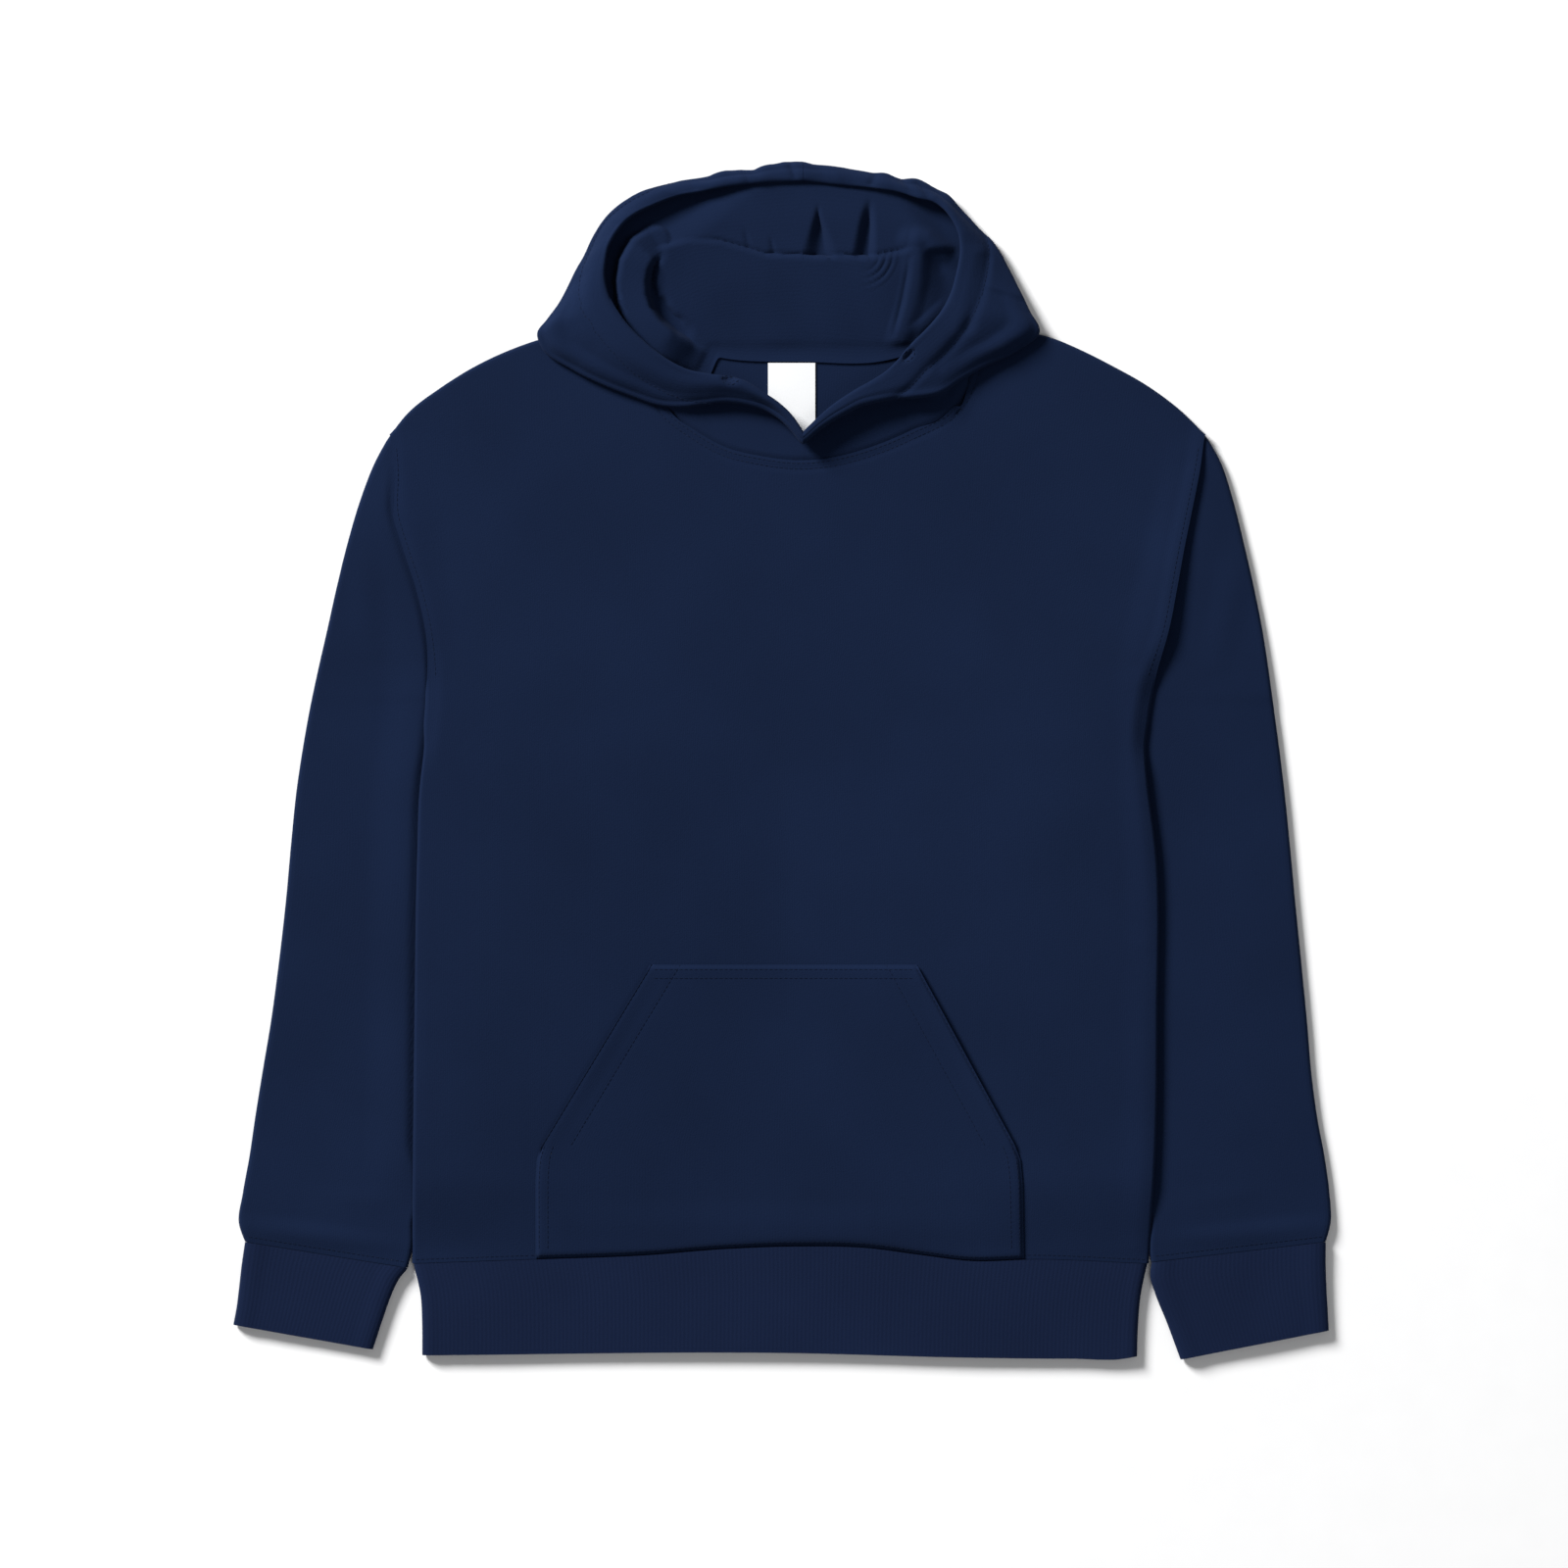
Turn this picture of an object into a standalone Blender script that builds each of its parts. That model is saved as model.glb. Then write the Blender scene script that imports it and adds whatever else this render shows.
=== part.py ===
"""Pullover hoodie laid flat on its back, with the hood opened out and the cuffs beside the hem.

Metres, +Z up. The origin is the bottom centre of the whole garment, +Y runs from the hem to the
hood and the cloth rests on z = 0. Left and right are as seen from above. The tables give real
sizes in millimetres, a row for each height or station.
"""

import bmesh
import bpy
import numpy as np

MM = 0.001
WELD = 0.00001
# Moves the tables' origin to the middle of the garment's box
TO_MIDDLE = (-0.663, 1.273, 0.0)

# Cloth
FLEECE = 2.3
RIB_CLOTH = 3.0
LABEL_CLOTH = 0.6
LAYER_GAP = 0.8
SEAM_GAP = 0.3
LYING_GAP = 0.4

# Heights of the middle of each cloth where it lies flat
BACK_Z = FLEECE / 2
FRONT_Z = FLEECE * 1.5 + LAYER_GAP
STACK = 2 * FLEECE + LAYER_GAP
FOLD_RADIUS = (FRONT_Z - BACK_Z) / 2
FOLD_Z = (FRONT_Z + BACK_Z) / 2
BAND_FOLD_RADIUS = (RIB_CLOTH + LAYER_GAP) / 2
BAND_FOLD_Z = RIB_CLOTH + LAYER_GAP / 2
SEAM_INSET = FLEECE / 2 - SEAM_GAP

# Body outline from the hem seam to the shoulder point: height, left edge, right edge
BODY_EDGES = (
    (-345, -254, 253),
    (-258, -253, 258),
    (-175, -252, 259),
    (-63, -250, 258),
    (-16, -248, 252),
    (18, -243, 249),
    (52, -241, 254),
    (89, -244, 266),
    (119, -251, 272),
    (146, -260, 277),
    (170, -267, 282),
    (200, -267, 288),
    (224, -269, 292),
)
UNDERARM_Y = 52

# Shoulder seams from the shoulder point to the neck: height, left, right
SHOULDERS = (
    (224, -269, 292),
    (241, -255, 275),
    (257, -234, 254),
    (273, -208, 226),
    (284, -184, 204),
    (290, -167, 190),
    (301, -96, 133),
)

# Neck seams from the left neck point to the right one: across, up
FRONT_NECK = (
    (-96, 301),
    (-90, 268),
    (-77, 243),
    (-58, 228),
    (-38, 217),
    (-14, 211),
    (15, 208),
    (40, 211),
    (64, 218),
    (90, 229),
    (117, 244),
    (130, 270),
    (133, 301),
)
BACK_NECK = (
    (-96, 301),
    (-72, 287),
    (-43, 279),
    (15, 276),
    (73, 277),
    (104, 287),
    (133, 301),
)

# Hem seam: across, up
HEM_SEAM = (
    (-254, -346),
    (-170, -343),
    (-92, -340),
    (-42, -336),
    (14, -334),
    (58, -335),
    (97, -340),
    (130, -344),
    (175, -343),
    (253, -346),
)
# Hem band below the seam: down from the seam, left edge, right edge
BAND_EDGES = (
    (0, -253, 252),
    (9, -251.5, 251),
    (17, -249, 248.5),
    (32, -247.5, 246.5),
    (64, -247, 245),
)
HEM_BOTTOM = ((-247, -409), (10, -407.5), (125, -410.5), (230, -411.5), (245, -409))

# Outer edges of the sleeves: height, left, right
SLEEVE_OUTER = (
    (224, -269, 292),
    (200, -281, 304),
    (173, -291, 312),
    (146, -299, 319),
    (92, -312, 331),
    (38, -324, 339),
    (-16, -333, 346),
    (-97, -341, 354),
    (-178, -351, 362),
    (-232, -360, 367),
    (-286, -368, 376),
    (-320, -373, 378),
    (-331, -370, 375),
)
# How far the inner edge of a sleeve lies under the body: height, tuck
SLEEVE_TUCK = (
    (52, -0.5),
    (36, -0.5),
    (8, 26),
    (-50, 56),
    (-150, 50),
    (-230, 20),
    (-282, -0.5),
    (-330, -0.5),
)
# Cuffs from seam to end: left outer x, y, left inner x, y, right outer x, y, right inner x, y
CUFFS = (
    (-369, -331, -257, -349, 375, -331, 255, -345),
    (-372, -352, -264, -358, 375, -352, 254.5, -358),
    (-374, -371, -271, -375, 376, -372, 262, -377),
    (-377, -388, -281, -405, 377, -392, 275, -412),
)
SLEEVE_LIFT_TOP = (60, 34)
SLEEVE_LIFT_END = (-284, -330)
LIFT_REACH = 24
LIFT_RAMP = 30
LIFT = STACK + LYING_GAP

# Pocket from the hem seam up: height, left edge, right edge
POCKET = (
    (-339, -169, 167),
    (-297, -169, 165),
    (-272, -167, 162),
    (-252, -159, 155),
    (-219, -136, 137),
    (-180, -114, 112),
    (-144, -92, 95),
    (-140, -89, 92),
)

# Hood, a row for each station from the front of the neck round to the top of the crown: rim x, y,
# z, outer fold x, y, z, place on the neck seam (0 front, 1 neck point, 2 back), and 1 where the
# fold stands inside the neck seam or 0 where it hangs outside it
LEFT_HOOD = (
    (16, 225, 17, 16, 218, 13, 0, 1),
    (4, 241, 17.5, 4, 231, 13, 0.067, 1),
    (-9, 251, 18, -8, 240, 13, 0.14, 1),
    (-27, 262, 18, -26, 245, 13, 0.25, 1),
    (-43, 265, 18.5, -43, 246, 12.5, 0.36, 1),
    (-61, 268, 19, -66, 243, 12, 0.52, 0.75),
    (-75, 274, 20, -87, 245, 12, 0.66, 0.2),
    (-88, 283, 21, -111, 254, 12, 0.74, 0),
    (-102, 296, 21, -139, 266, 12, 0.85, 0),
    (-113, 310, 20, -167, 287, 11.5, 0.93, 0),
    (-118, 320, 19, -165, 297, 10, 0.955, 0),
    (-121, 332, 18, -154, 312, 7, 0.975, 0),
    (-120, 347, 17, -144, 331, 5, 0.995, 0),
    (-118.5, 353, 16.5, -141, 337.5, 4.6, 1.17, 0),
    (-116, 359, 16, -137, 344, 4.3, 1.36, 0),
    (-107, 371, 14, -128, 363, 4.3, 1.52, 0),
    (-94, 379, 12, -117, 378, 4.3, 1.61, 0),
    (-72, 388, 11, -99, 392, 4.3, 1.7, 0),
    (-51, 392, 10, -65, 401, 4.3, 1.8, 0),
    (-30, 396, 9, -28, 407, 4.3, 1.9, 0),
    (12, 399, 9, 8, 411, 4.3, 2, 0),
)
RIGHT_HOOD = (
    (16, 225, 17, 16, 218, 13, 0, 1),
    (28, 238, 17.5, 28, 229, 13, 0.075, 1),
    (39, 247, 18, 40, 236, 13, 0.14, 1),
    (51, 255, 18, 53, 243, 13, 0.22, 1),
    (65, 263, 18.5, 70, 247, 12.5, 0.3, 1),
    (77, 272, 19, 87, 249, 12, 0.42, 1),
    (88, 285, 20, 106.6, 250.9, 12, 0.539, 0.99),
    (99, 296, 21, 126.7, 263.1, 12, 0.773, 0.16),
    (107, 305, 21, 149, 275.9, 12, 0.86, 0.17),
    (113, 314, 20, 177, 291, 11.5, 0.926, 0),
    (118, 326, 19, 171, 309, 9, 0.96, 0),
    (119.5, 332, 18.5, 166, 320, 7.5, 0.995, 0),
    (121, 338, 18, 161, 330, 6, 1.25, 0),
    (123, 351, 17, 152, 348, 4.6, 1.5, 0),
    (121, 365, 16, 138, 365, 4.3, 1.62, 0),
    (115, 375, 14, 124, 381, 4.3, 1.7, 0),
    (107, 383, 12, 108, 394, 4.3, 1.76, 0),
    (93, 387, 11, 89, 401, 4.3, 1.82, 0),
    (77, 392, 10, 63, 405, 4.3, 1.88, 0),
    (42, 396, 9, 36, 410, 4.3, 1.95, 0),
    (12, 399, 9, 8, 411, 4.3, 2, 0),
)
HOOD_FOLD = 3.0
FOOT_RISE = 0.8
SIDE_SHIFT = 1.6
NEAR_SEAM = (3.8, 2.4, 1.2, 0)
LEAVES_NECK = 12
HOOD_STATIONS = {1: 28, 2: 27}
HOOD_MIDDLE = 15
NECK_MIDDLE = (15, 330)
OVER_BODY_Z = STACK + LYING_GAP + FLEECE / 2
ON_FLOOR_Z = FLEECE / 2 + 0.1
# Folds of the lower layer inside the hood: from x, y, to x, y, height, half width
HOOD_FOLDS = (
    (-109, 344, -99, 315, 4.5, 14),
    (-99, 315, -72, 284, 4.0, 13),
    (92, 345, 80, 290, 3.5, 11),
    (88, 350, 118, 338, 2.5, 10),
)
NEAR_LAYER = 3.0
NEAR_LAYER_TOP = 347
NEAR_LAYER_SIDES = (-62, 68)

# Neck label
LABEL_X = (-9, 23.5)
LABEL_Y = (224, 274)

NAVY = (0.0095, 0.0175, 0.050, 1)
NAVY_RIB = (0.0090, 0.0165, 0.047, 1)
WHITE = (0.85, 0.86, 0.87, 1)


def smooth(knots, values, at):
    """Values at places along a smooth line through the knots."""
    knots = np.asarray(knots, float)
    values = np.asarray(values, float).reshape(len(knots), -1)
    steps = np.diff(knots)[:, None]
    slopes = np.diff(values, axis=0) / steps
    bends = np.empty_like(values)
    bends[0], bends[-1] = slopes[0], slopes[-1]
    bends[1:-1] = (slopes[:-1] * steps[1:] + slopes[1:] * steps[:-1]) / (steps[1:] + steps[:-1])
    at = np.clip(np.asarray(at, float), knots[0], knots[-1])
    low = np.clip(np.searchsorted(knots, at, side="right") - 1, 0, len(knots) - 2)
    step = steps[low]
    part = ((at - knots[low]) / step[:, 0])[:, None]
    whole = (2 * part**3 - 3 * part**2 + 1) * values[low]
    whole = whole + (part**3 - 2 * part**2 + part) * step * bends[low]
    whole = whole + (3 * part**2 - 2 * part**3) * values[low + 1]
    return whole + (part**3 - part**2) * step * bends[low + 1]


def along(points, fractions):
    """Places along a smooth line through the points, by fractions of its length."""
    points = np.asarray(points, float)
    lengths = np.concatenate([[0], np.cumsum(np.linalg.norm(np.diff(points, axis=0), axis=1))])
    return smooth(lengths, points, np.asarray(fractions) * lengths[-1])


def column(table, index):
    return np.array([row[index] for row in table], float)


def edge(table, side):
    """The left (1) or right (2) line of a table of heights, as points."""
    return np.stack([column(table, side), column(table, 0)], axis=1)


def at_height(table, side, height):
    """How far across the edge of a table lies at each height."""
    heights = column(table, 0)
    order = np.argsort(heights)
    height = np.asarray(height, float)
    found = smooth(heights[order], column(table, side)[order], height.ravel())
    return found.reshape(height.shape)


def ease(value, start, end):
    """0 at start, 1 at end, with soft ends."""
    part = np.clip((np.asarray(value, float) - start) / (end - start), 0, 1)
    return part * part * (3 - 2 * part)


def unit(vectors):
    lengths = np.linalg.norm(vectors, axis=-1, keepdims=True)
    return vectors / np.maximum(lengths, 1e-9)


def lengths_of(vectors):
    return np.maximum(np.linalg.norm(vectors, axis=-1, keepdims=True), 1e-9)


def end_slope(first, second, third):
    """Direction at the first of three points along a line."""
    near, far = lengths_of(second - first), lengths_of(third - second)
    both = near + far
    slope = -first * (near + both) / (near * both) + second * both / (near * far)
    return slope - third * near / (far * both)


def tangents(grid, axis, around=False):
    """Directions along one way of a grid, from unevenly spaced points."""
    grid = np.moveaxis(grid, axis, 0)
    ahead = np.roll(grid, -1, 0) - grid
    behind = grid - np.roll(grid, 1, 0)
    ahead_length, behind_length = lengths_of(ahead), lengths_of(behind)
    mixed = ahead / ahead_length * behind_length + behind / behind_length * ahead_length
    if not around:
        mixed[0] = end_slope(grid[0], grid[1], grid[2])
        mixed[-1] = -end_slope(grid[-1], grid[-2], grid[-3])
    return np.moveaxis(unit(mixed), 0, axis)


def end_facing(row):
    """The level direction square to the line from the first point of a row to its farthest one."""
    reach = row - row[0]
    chord = reach[np.argmax(np.linalg.norm(reach, axis=1))]
    return unit(np.array([chord[1], -chord[0], 0.0]))


def shell_object(name, grid, cloth, material, around=False, facing=None):
    """A closed wall of cloth round a grid of points (rows, columns, xyz) in millimetres.

    The end faces of its first and last rows lie square to the facing, or to the row's own line."""
    normals = unit(np.cross(tangents(grid, 1, around), tangents(grid, 0)))
    for row in (0, -1) if around or facing is not None else ():
        square_to = end_facing(grid[row]) if facing is None else np.array(facing)
        normals[row] = unit(normals[row] - (normals[row] @ square_to)[:, None] * square_to)
    _, same = np.unique(np.round(grid.reshape(-1, 3), 4), axis=0, return_inverse=True)
    shared = np.zeros((same.max() + 1, 3))
    np.add.at(shared, same.ravel(), normals.reshape(-1, 3))
    normals = unit(shared)[same.ravel()].reshape(grid.shape)
    rows, columns = grid.shape[:2]
    sides = np.concatenate([grid + normals * cloth / 2, grid - normals * cloth / 2])
    points = (sides.reshape(-1, 3) + TO_MIDDLE) * MM
    inner = rows * columns
    across = columns if around else columns - 1
    faces = []
    for row in range(rows - 1):
        for place in range(across):
            a = row * columns + place
            b = row * columns + (place + 1) % columns
            c, d = b + columns, a + columns
            faces += [(a, b, c), (a, c, d)]
            faces += [(inner + c, inner + b, inner + a), (inner + d, inner + c, inner + a)]
    for place in range(across):
        a, b = place, (place + 1) % columns
        c, d = (rows - 1) * columns + b, (rows - 1) * columns + a
        faces.append((inner + a, inner + b, b, a))
        faces.append((d, c, inner + c, inner + d))
    if not around:
        for row in range(rows - 1):
            a, b = row * columns, (row + 1) * columns
            faces.append((a, b, inner + b, inner + a))
            c, d = a + columns - 1, b + columns - 1
            faces.append((inner + c, inner + d, d, c))
    mesh = bpy.data.meshes.new(name)
    mesh.from_pydata([tuple(point) for point in points], [], faces)
    body = bmesh.new()
    body.from_mesh(mesh)
    bmesh.ops.remove_doubles(body, verts=body.verts, dist=WELD)
    body.to_mesh(mesh)
    body.free()
    volume = sum(
        mesh.vertices[face.vertices[0]].co.dot(face.normal) * face.area for face in mesh.polygons
    )
    if volume < 0:
        mesh.flip_normals()
    mesh.shade_smooth()
    mesh.materials.append(material)
    piece = bpy.data.objects.new(name, mesh)
    bpy.context.scene.collection.objects.link(piece)
    return piece


def cloth_material(name, colour, roughness):
    material = bpy.data.materials.new(name)
    material.use_nodes = True
    shader = material.node_tree.nodes["Principled BSDF"]
    shader.inputs["Base Color"].default_value = colour
    shader.inputs["Roughness"].default_value = roughness
    shader.inputs["Metallic"].default_value = 0.0
    return material


def sleeve_inner(height, side):
    """Across place of a sleeve's inner fold at a height."""
    sign = 1 if side == 1 else -1
    tuck = at_height([(row[0], row[1]) for row in SLEEVE_TUCK], 1, height)
    return at_height(BODY_EDGES, side, height) + sign * tuck


def body_lift(x, y):
    """How far the body is raised over the sleeves that lie under its sides."""
    span = ease(y, *SLEEVE_LIFT_TOP) * (1 - ease(y, *SLEEVE_LIFT_END))
    left = 1 - ease(x - sleeve_inner(y, 1), LIFT_REACH, LIFT_REACH + LIFT_RAMP)
    right = 1 - ease(sleeve_inner(y, 2) - x, LIFT_REACH, LIFT_REACH + LIFT_RAMP)
    return LIFT * span * np.maximum(left, right)


FOLD_ANGLES = np.radians([90, 60, 30, 0])
FOLD_IN = FLEECE / 2 + FOLD_RADIUS * (1 - np.sin(FOLD_ANGLES))
FOLD_PARTING = 0.25
FOLD_DROP = (FOLD_RADIUS - FOLD_PARTING) * (1 - np.cos(FOLD_ANGLES))
PANEL_WIDTH = 520
PANEL_HEIGHT = 590
NECK_FROM, NECK_TO = 0.31, 0.715
NECK_STEPS = 12
EVEN_STEPS = np.linspace(0, 1, NECK_STEPS + 1)
NECK_SHARES = 0.4 * EVEN_STEPS + 0.3 * (1 - np.cos(np.pi * EVEN_STEPS))
ACROSS_FROM_SIDE = np.array([12, 28, 46, 66, 90, 122]) / PANEL_WIDTH
ROWS_TO_ARMHOLE = np.array([0.04, 0.08, 0.13, 0.22, 0.34, 0.46, 0.55, 0.6, 0.64, 0.665, 0.69])
ROWS_ON_ARMHOLE = np.array([0.72, 0.77, 0.82, 0.87, 0.92, 0.965])


def panel_columns():
    """Shares across a body panel, close together at the side folds."""
    left = np.concatenate([FOLD_IN / PANEL_WIDTH, ACROSS_FROM_SIDE, [0.27]])
    neck = NECK_FROM + (NECK_TO - NECK_FROM) * NECK_SHARES
    right = 1 - np.concatenate([FOLD_IN / PANEL_WIDTH, ACROSS_FROM_SIDE])
    return np.concatenate([left, neck, right[::-1]])


def hem_seam(across):
    """Places on the hem seam by shares of its width."""
    x = HEM_SEAM[0][0] + np.asarray(across) * (HEM_SEAM[-1][0] - HEM_SEAM[0][0])
    return np.stack([x, smooth(column(HEM_SEAM, 0), column(HEM_SEAM, 1), x)[:, 0]], axis=1)


def neck_points(neck):
    """The corners of a neck edge, which the body and the hood share."""
    x = neck[0][0] + (neck[-1][0] - neck[0][0]) * NECK_SHARES
    return np.stack([x, smooth(column(neck, 0), column(neck, 1), x)[:, 0]], axis=1)


def panel(neck, is_front):
    """The grid of a body panel: rows from the hem seam to the shoulders and neck."""
    across = panel_columns()
    foot = [SEAM_GAP / 2 / PANEL_HEIGHT]
    shoulder_rows = 1 - FOLD_IN[::-1] / PANEL_HEIGHT
    up = np.concatenate([foot, ROWS_TO_ARMHOLE, ROWS_ON_ARMHOLE, shoulder_rows])
    left_side, right_side = (along(edge(BODY_EDGES, side), up) for side in (1, 2))
    ends = [along(edge(BODY_EDGES, side), [0, 1]) for side in (1, 2)]
    bottom = hem_seam(across)
    top = np.empty((len(across), 2))
    first = int(np.argmin(abs(across - NECK_FROM)))
    last = first + NECK_STEPS
    top[: first + 1] = along(edge(SHOULDERS, 1), across[: first + 1] / NECK_FROM)
    top[last:] = along(edge(SHOULDERS, 2), (1 - across[last:]) / (1 - NECK_TO))
    top[first : last + 1] = neck_points(neck)
    in_neck = np.zeros(len(across), bool)
    in_neck[first : last + 1] = True
    u, v = across[None, :, None], up[:, None, None]
    plan = (1 - v) * bottom[None] + v * top[None]
    plan = plan + (1 - u) * left_side[:, None] + u * right_side[:, None]
    plan = plan - (1 - v) * ((1 - u) * ends[0][0] + u * ends[1][0])
    plan = plan - v * ((1 - u) * ends[0][1] + u * ends[1][1])
    side_fold = 1 - ease(left_side[:, 1], UNDERARM_Y - 12, UNDERARM_Y + 14)
    folds = len(FOLD_DROP)
    turn = side_fold * np.pi / 2
    shares = np.linspace(1, 0, folds)
    turned = turn[:, None] * shares
    reach = FOLD_RADIUS * (np.sin(turn)[:, None] - np.sin(turned))
    reach = reach + FOLD_RADIUS * (1 - np.sin(turn))[:, None] * (1 - shares)
    side_drop = (FOLD_RADIUS - FOLD_PARTING) * (1 - np.cos(turned))
    for columns in (np.arange(folds), -1 - np.arange(folds)):
        start = plan[:, columns[0]]
        inward = unit(plan[:, columns[-1]] - start)
        plan[:, columns] = start[:, None] + inward[:, None] * reach[..., None]
    x, y = plan[..., 0], plan[..., 1]
    drop = np.zeros_like(x)
    drop[:, :folds] = side_drop
    drop[:, -folds:] = side_drop[:, ::-1]
    shoulder = np.where(in_neck, 0.0, 1.0)
    top_drop = shoulder[None, :] * FOLD_DROP[::-1, None]
    drop[-folds:] = np.maximum(drop[-folds:], top_drop)
    height = FRONT_Z - drop if is_front else BACK_Z + drop
    return np.dstack([x, y, height + body_lift(x, y)])


# Steps round each folded edge of a tube, and the turn of the sleeve's fold at the underarm
END_STEPS = 3
UNDERARM_TURN = 42


def ring(outer, inner, radius, middle_z, cloth, flats, bow=None):
    """One section of a flattened tube, from the outer edge over the top to the inner edge and back.

    The flats are shares of the way across at which its level stretches have points."""
    chord = inner - outer
    length = np.linalg.norm(chord)
    start = cloth / 2 + radius
    turns = np.radians([180, 150, 120][:END_STEPS])
    ends = [(start + radius * np.cos(turn), radius * np.sin(turn)) for turn in turns]
    level = [start, *np.clip(np.array(flats) * length, start + 2, length - start - 2), length - start]
    flat = [(place, radius) for place in level]
    far = [(length - place, rise) for place, rise in reversed(ends)]
    over = ends + flat + far
    under = [(place, -rise) for place, rise in reversed(over[1:-1])]
    places = np.array(over + under)
    direction = chord / length
    plan = outer + places[:, :1] * direction
    if bow is not None:
        plan = plan + bow(np.clip(places[:, 0] / length, 0, 1))
    return np.column_stack([plan, middle_z + places[:, 1]])


# Sections of the sleeves from the armhole to the cuff: height at the outer edge, at the inner fold
SLEEVE_SECTIONS = (
    (224, 47),
    (206, 47),
    (180, 47),
    (150, 47),
    (120, 47),
    (90, 47),
    (64, 47),
    (36, 34),
    (10, 10),
    (-20, -20),
    (-55, -55),
    (-95, -100),
    (-140, -145),
    (-180, -190),
    (-215, -228),
    (-246, -256),
    (-272, -282),
    (-298, -310),
    (-318, -332),
)


def sleeve(side):
    """The grid of a sleeve, from the armhole seam to the cuff seam."""
    sign = 1 if side == 1 else -1
    first = 0 if side == 1 else 4
    end = np.array(CUFFS[0][first : first + 4], float)
    end_chord = unit(end[2:] - end[:2])
    end_shift = SEAM_GAP / 2 * np.array([-end_chord[1], end_chord[0]]) * sign
    body_edge = edge(BODY_EDGES, side)
    runs = np.cumsum(np.linalg.norm(np.diff(body_edge, axis=0), axis=1))
    underarm = runs[column(BODY_EDGES, 0)[1:] == UNDERARM_Y][0] / runs[-1]
    corners = np.concatenate([[underarm], ROWS_ON_ARMHOLE, 1 - FOLD_IN[::-1] / PANEL_HEIGHT])
    seam_line = along(body_edge, corners)
    flats = (1 - ROWS_ON_ARMHOLE[::-1]) / (1 - underarm)
    top, bottom = seam_line[-1], seam_line[0]

    def armhole_bow(places):
        at = 1 - places * (1 - underarm)
        edge_x, edge_y = (np.interp(at, corners, seam_line[:, axis]) for axis in (0, 1))
        on_chord = top + (bottom - top) * places[:, None]
        shift = SEAM_INSET * (1 - places**6) - (1 - ease(places, 0, 0.04))
        return np.stack([edge_x + sign * shift, edge_y], axis=1) - on_chord

    turned = np.radians(UNDERARM_TURN)
    tip_inner = np.array([bottom[0] - sign * 0.5, SLEEVE_SECTIONS[0][1]])
    tip_outer = tip_inner + 60 * np.array([-sign * np.cos(turned), np.sin(turned)])
    over = 2 * END_STEPS + len(flats) + 2
    tip = slice(over - END_STEPS - 1, over + END_STEPS)
    underarm_tip = ring(tip_outer, tip_inner, FOLD_RADIUS, FOLD_Z, FLEECE, flats)[tip]
    rings = []
    for outer_y, inner_y in SLEEVE_SECTIONS:
        outer = np.array([float(at_height(SLEEVE_OUTER, side, outer_y)), outer_y])
        inner = np.array([float(sleeve_inner(inner_y, side)), inner_y])
        if outer_y == SLEEVE_SECTIONS[0][0]:
            outer, inner = top, bottom
        keep = ease(outer_y, 90, SLEEVE_SECTIONS[0][0])
        bow = lambda places, keep=keep: armhole_bow(places) * keep
        rings.append(ring(outer, inner, FOLD_RADIUS, FOLD_Z, FLEECE, flats, bow))
        if inner_y == SLEEVE_SECTIONS[0][1]:
            rings[-1][tip] = underarm_tip
    shift = end_shift
    rings.append(ring(end[:2] + shift, end[2:] + shift, FOLD_RADIUS, FOLD_Z, FLEECE, flats))
    return np.array(rings)


def cuff(side, rows=5):
    """The grid of a cuff, from its seam to its end."""
    first = 0 if side == 1 else 4
    sign = 1 if side == 1 else -1
    places = np.linspace(0, 1, rows)
    knots = np.linspace(0, 1, len(CUFFS))
    lines = smooth(knots, [row[first : first + 4] for row in CUFFS], places)
    chord = unit(lines[0][2:] - lines[0][:2])
    lines[0] -= np.tile(SEAM_GAP / 2 * np.array([-chord[1], chord[0]]) * sign, 2)
    flats = np.linspace(0, 1, 6)[1:-1]
    rings = []
    for line in lines:
        rings.append(ring(line[:2], line[2:], BAND_FOLD_RADIUS, BAND_FOLD_Z, RIB_CLOTH, flats))
    return np.array(rings)


def hem_band(rows=4):
    """The grid of the hem band, from its seam to the bottom of the garment."""
    downs = column(BAND_EDGES, 0)
    flats = panel_columns()[len(FOLD_IN) : -len(FOLD_IN)]
    rings = []
    for share in np.linspace(0, 1, rows):
        left, right = smooth(downs, [row[1:] for row in BAND_EDGES], [share * downs[-1]])[0]
        ends = np.array([[left, 0], [right, 0]])
        level = ring(ends[0], ends[1], BAND_FOLD_RADIUS, BAND_FOLD_Z, RIB_CLOTH, flats)
        seam_y = np.interp(level[:, 0], *hem_seam(panel_columns()).T)
        end_y = smooth(column(HEM_BOTTOM, 0), column(HEM_BOTTOM, 1), level[:, 0])[:, 0]
        level[:, 1] = (seam_y - SEAM_GAP / 2) * (1 - share) + end_y * share
        rings.append(level)
    return np.array(rings)


def pocket(columns=11):
    """The grid of the pocket, lying on the front panel."""
    heights = np.array([-339, -318, -297, -283, -272, -262, -252, -236, -219, -200, -180, -162, -144])
    heights = np.append(heights, -140.0)
    left, right = (at_height(POCKET, side, heights) for side in (1, 2))
    share = np.linspace(0, 1, columns)[None]
    x = left[:, None] * (1 - share) + right[:, None] * share
    y = np.repeat(heights[:, None], columns, axis=1)
    foot = smooth(column(HEM_SEAM, 0), column(HEM_SEAM, 1), x[0])[:, 0] + 1.0
    y = y + (foot - heights[0])[None] * (1 - ease(heights, heights[0], -280))[:, None]
    z = FRONT_Z + FLEECE + LYING_GAP + body_lift(x, y)
    return np.dstack([x, y, z])


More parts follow.
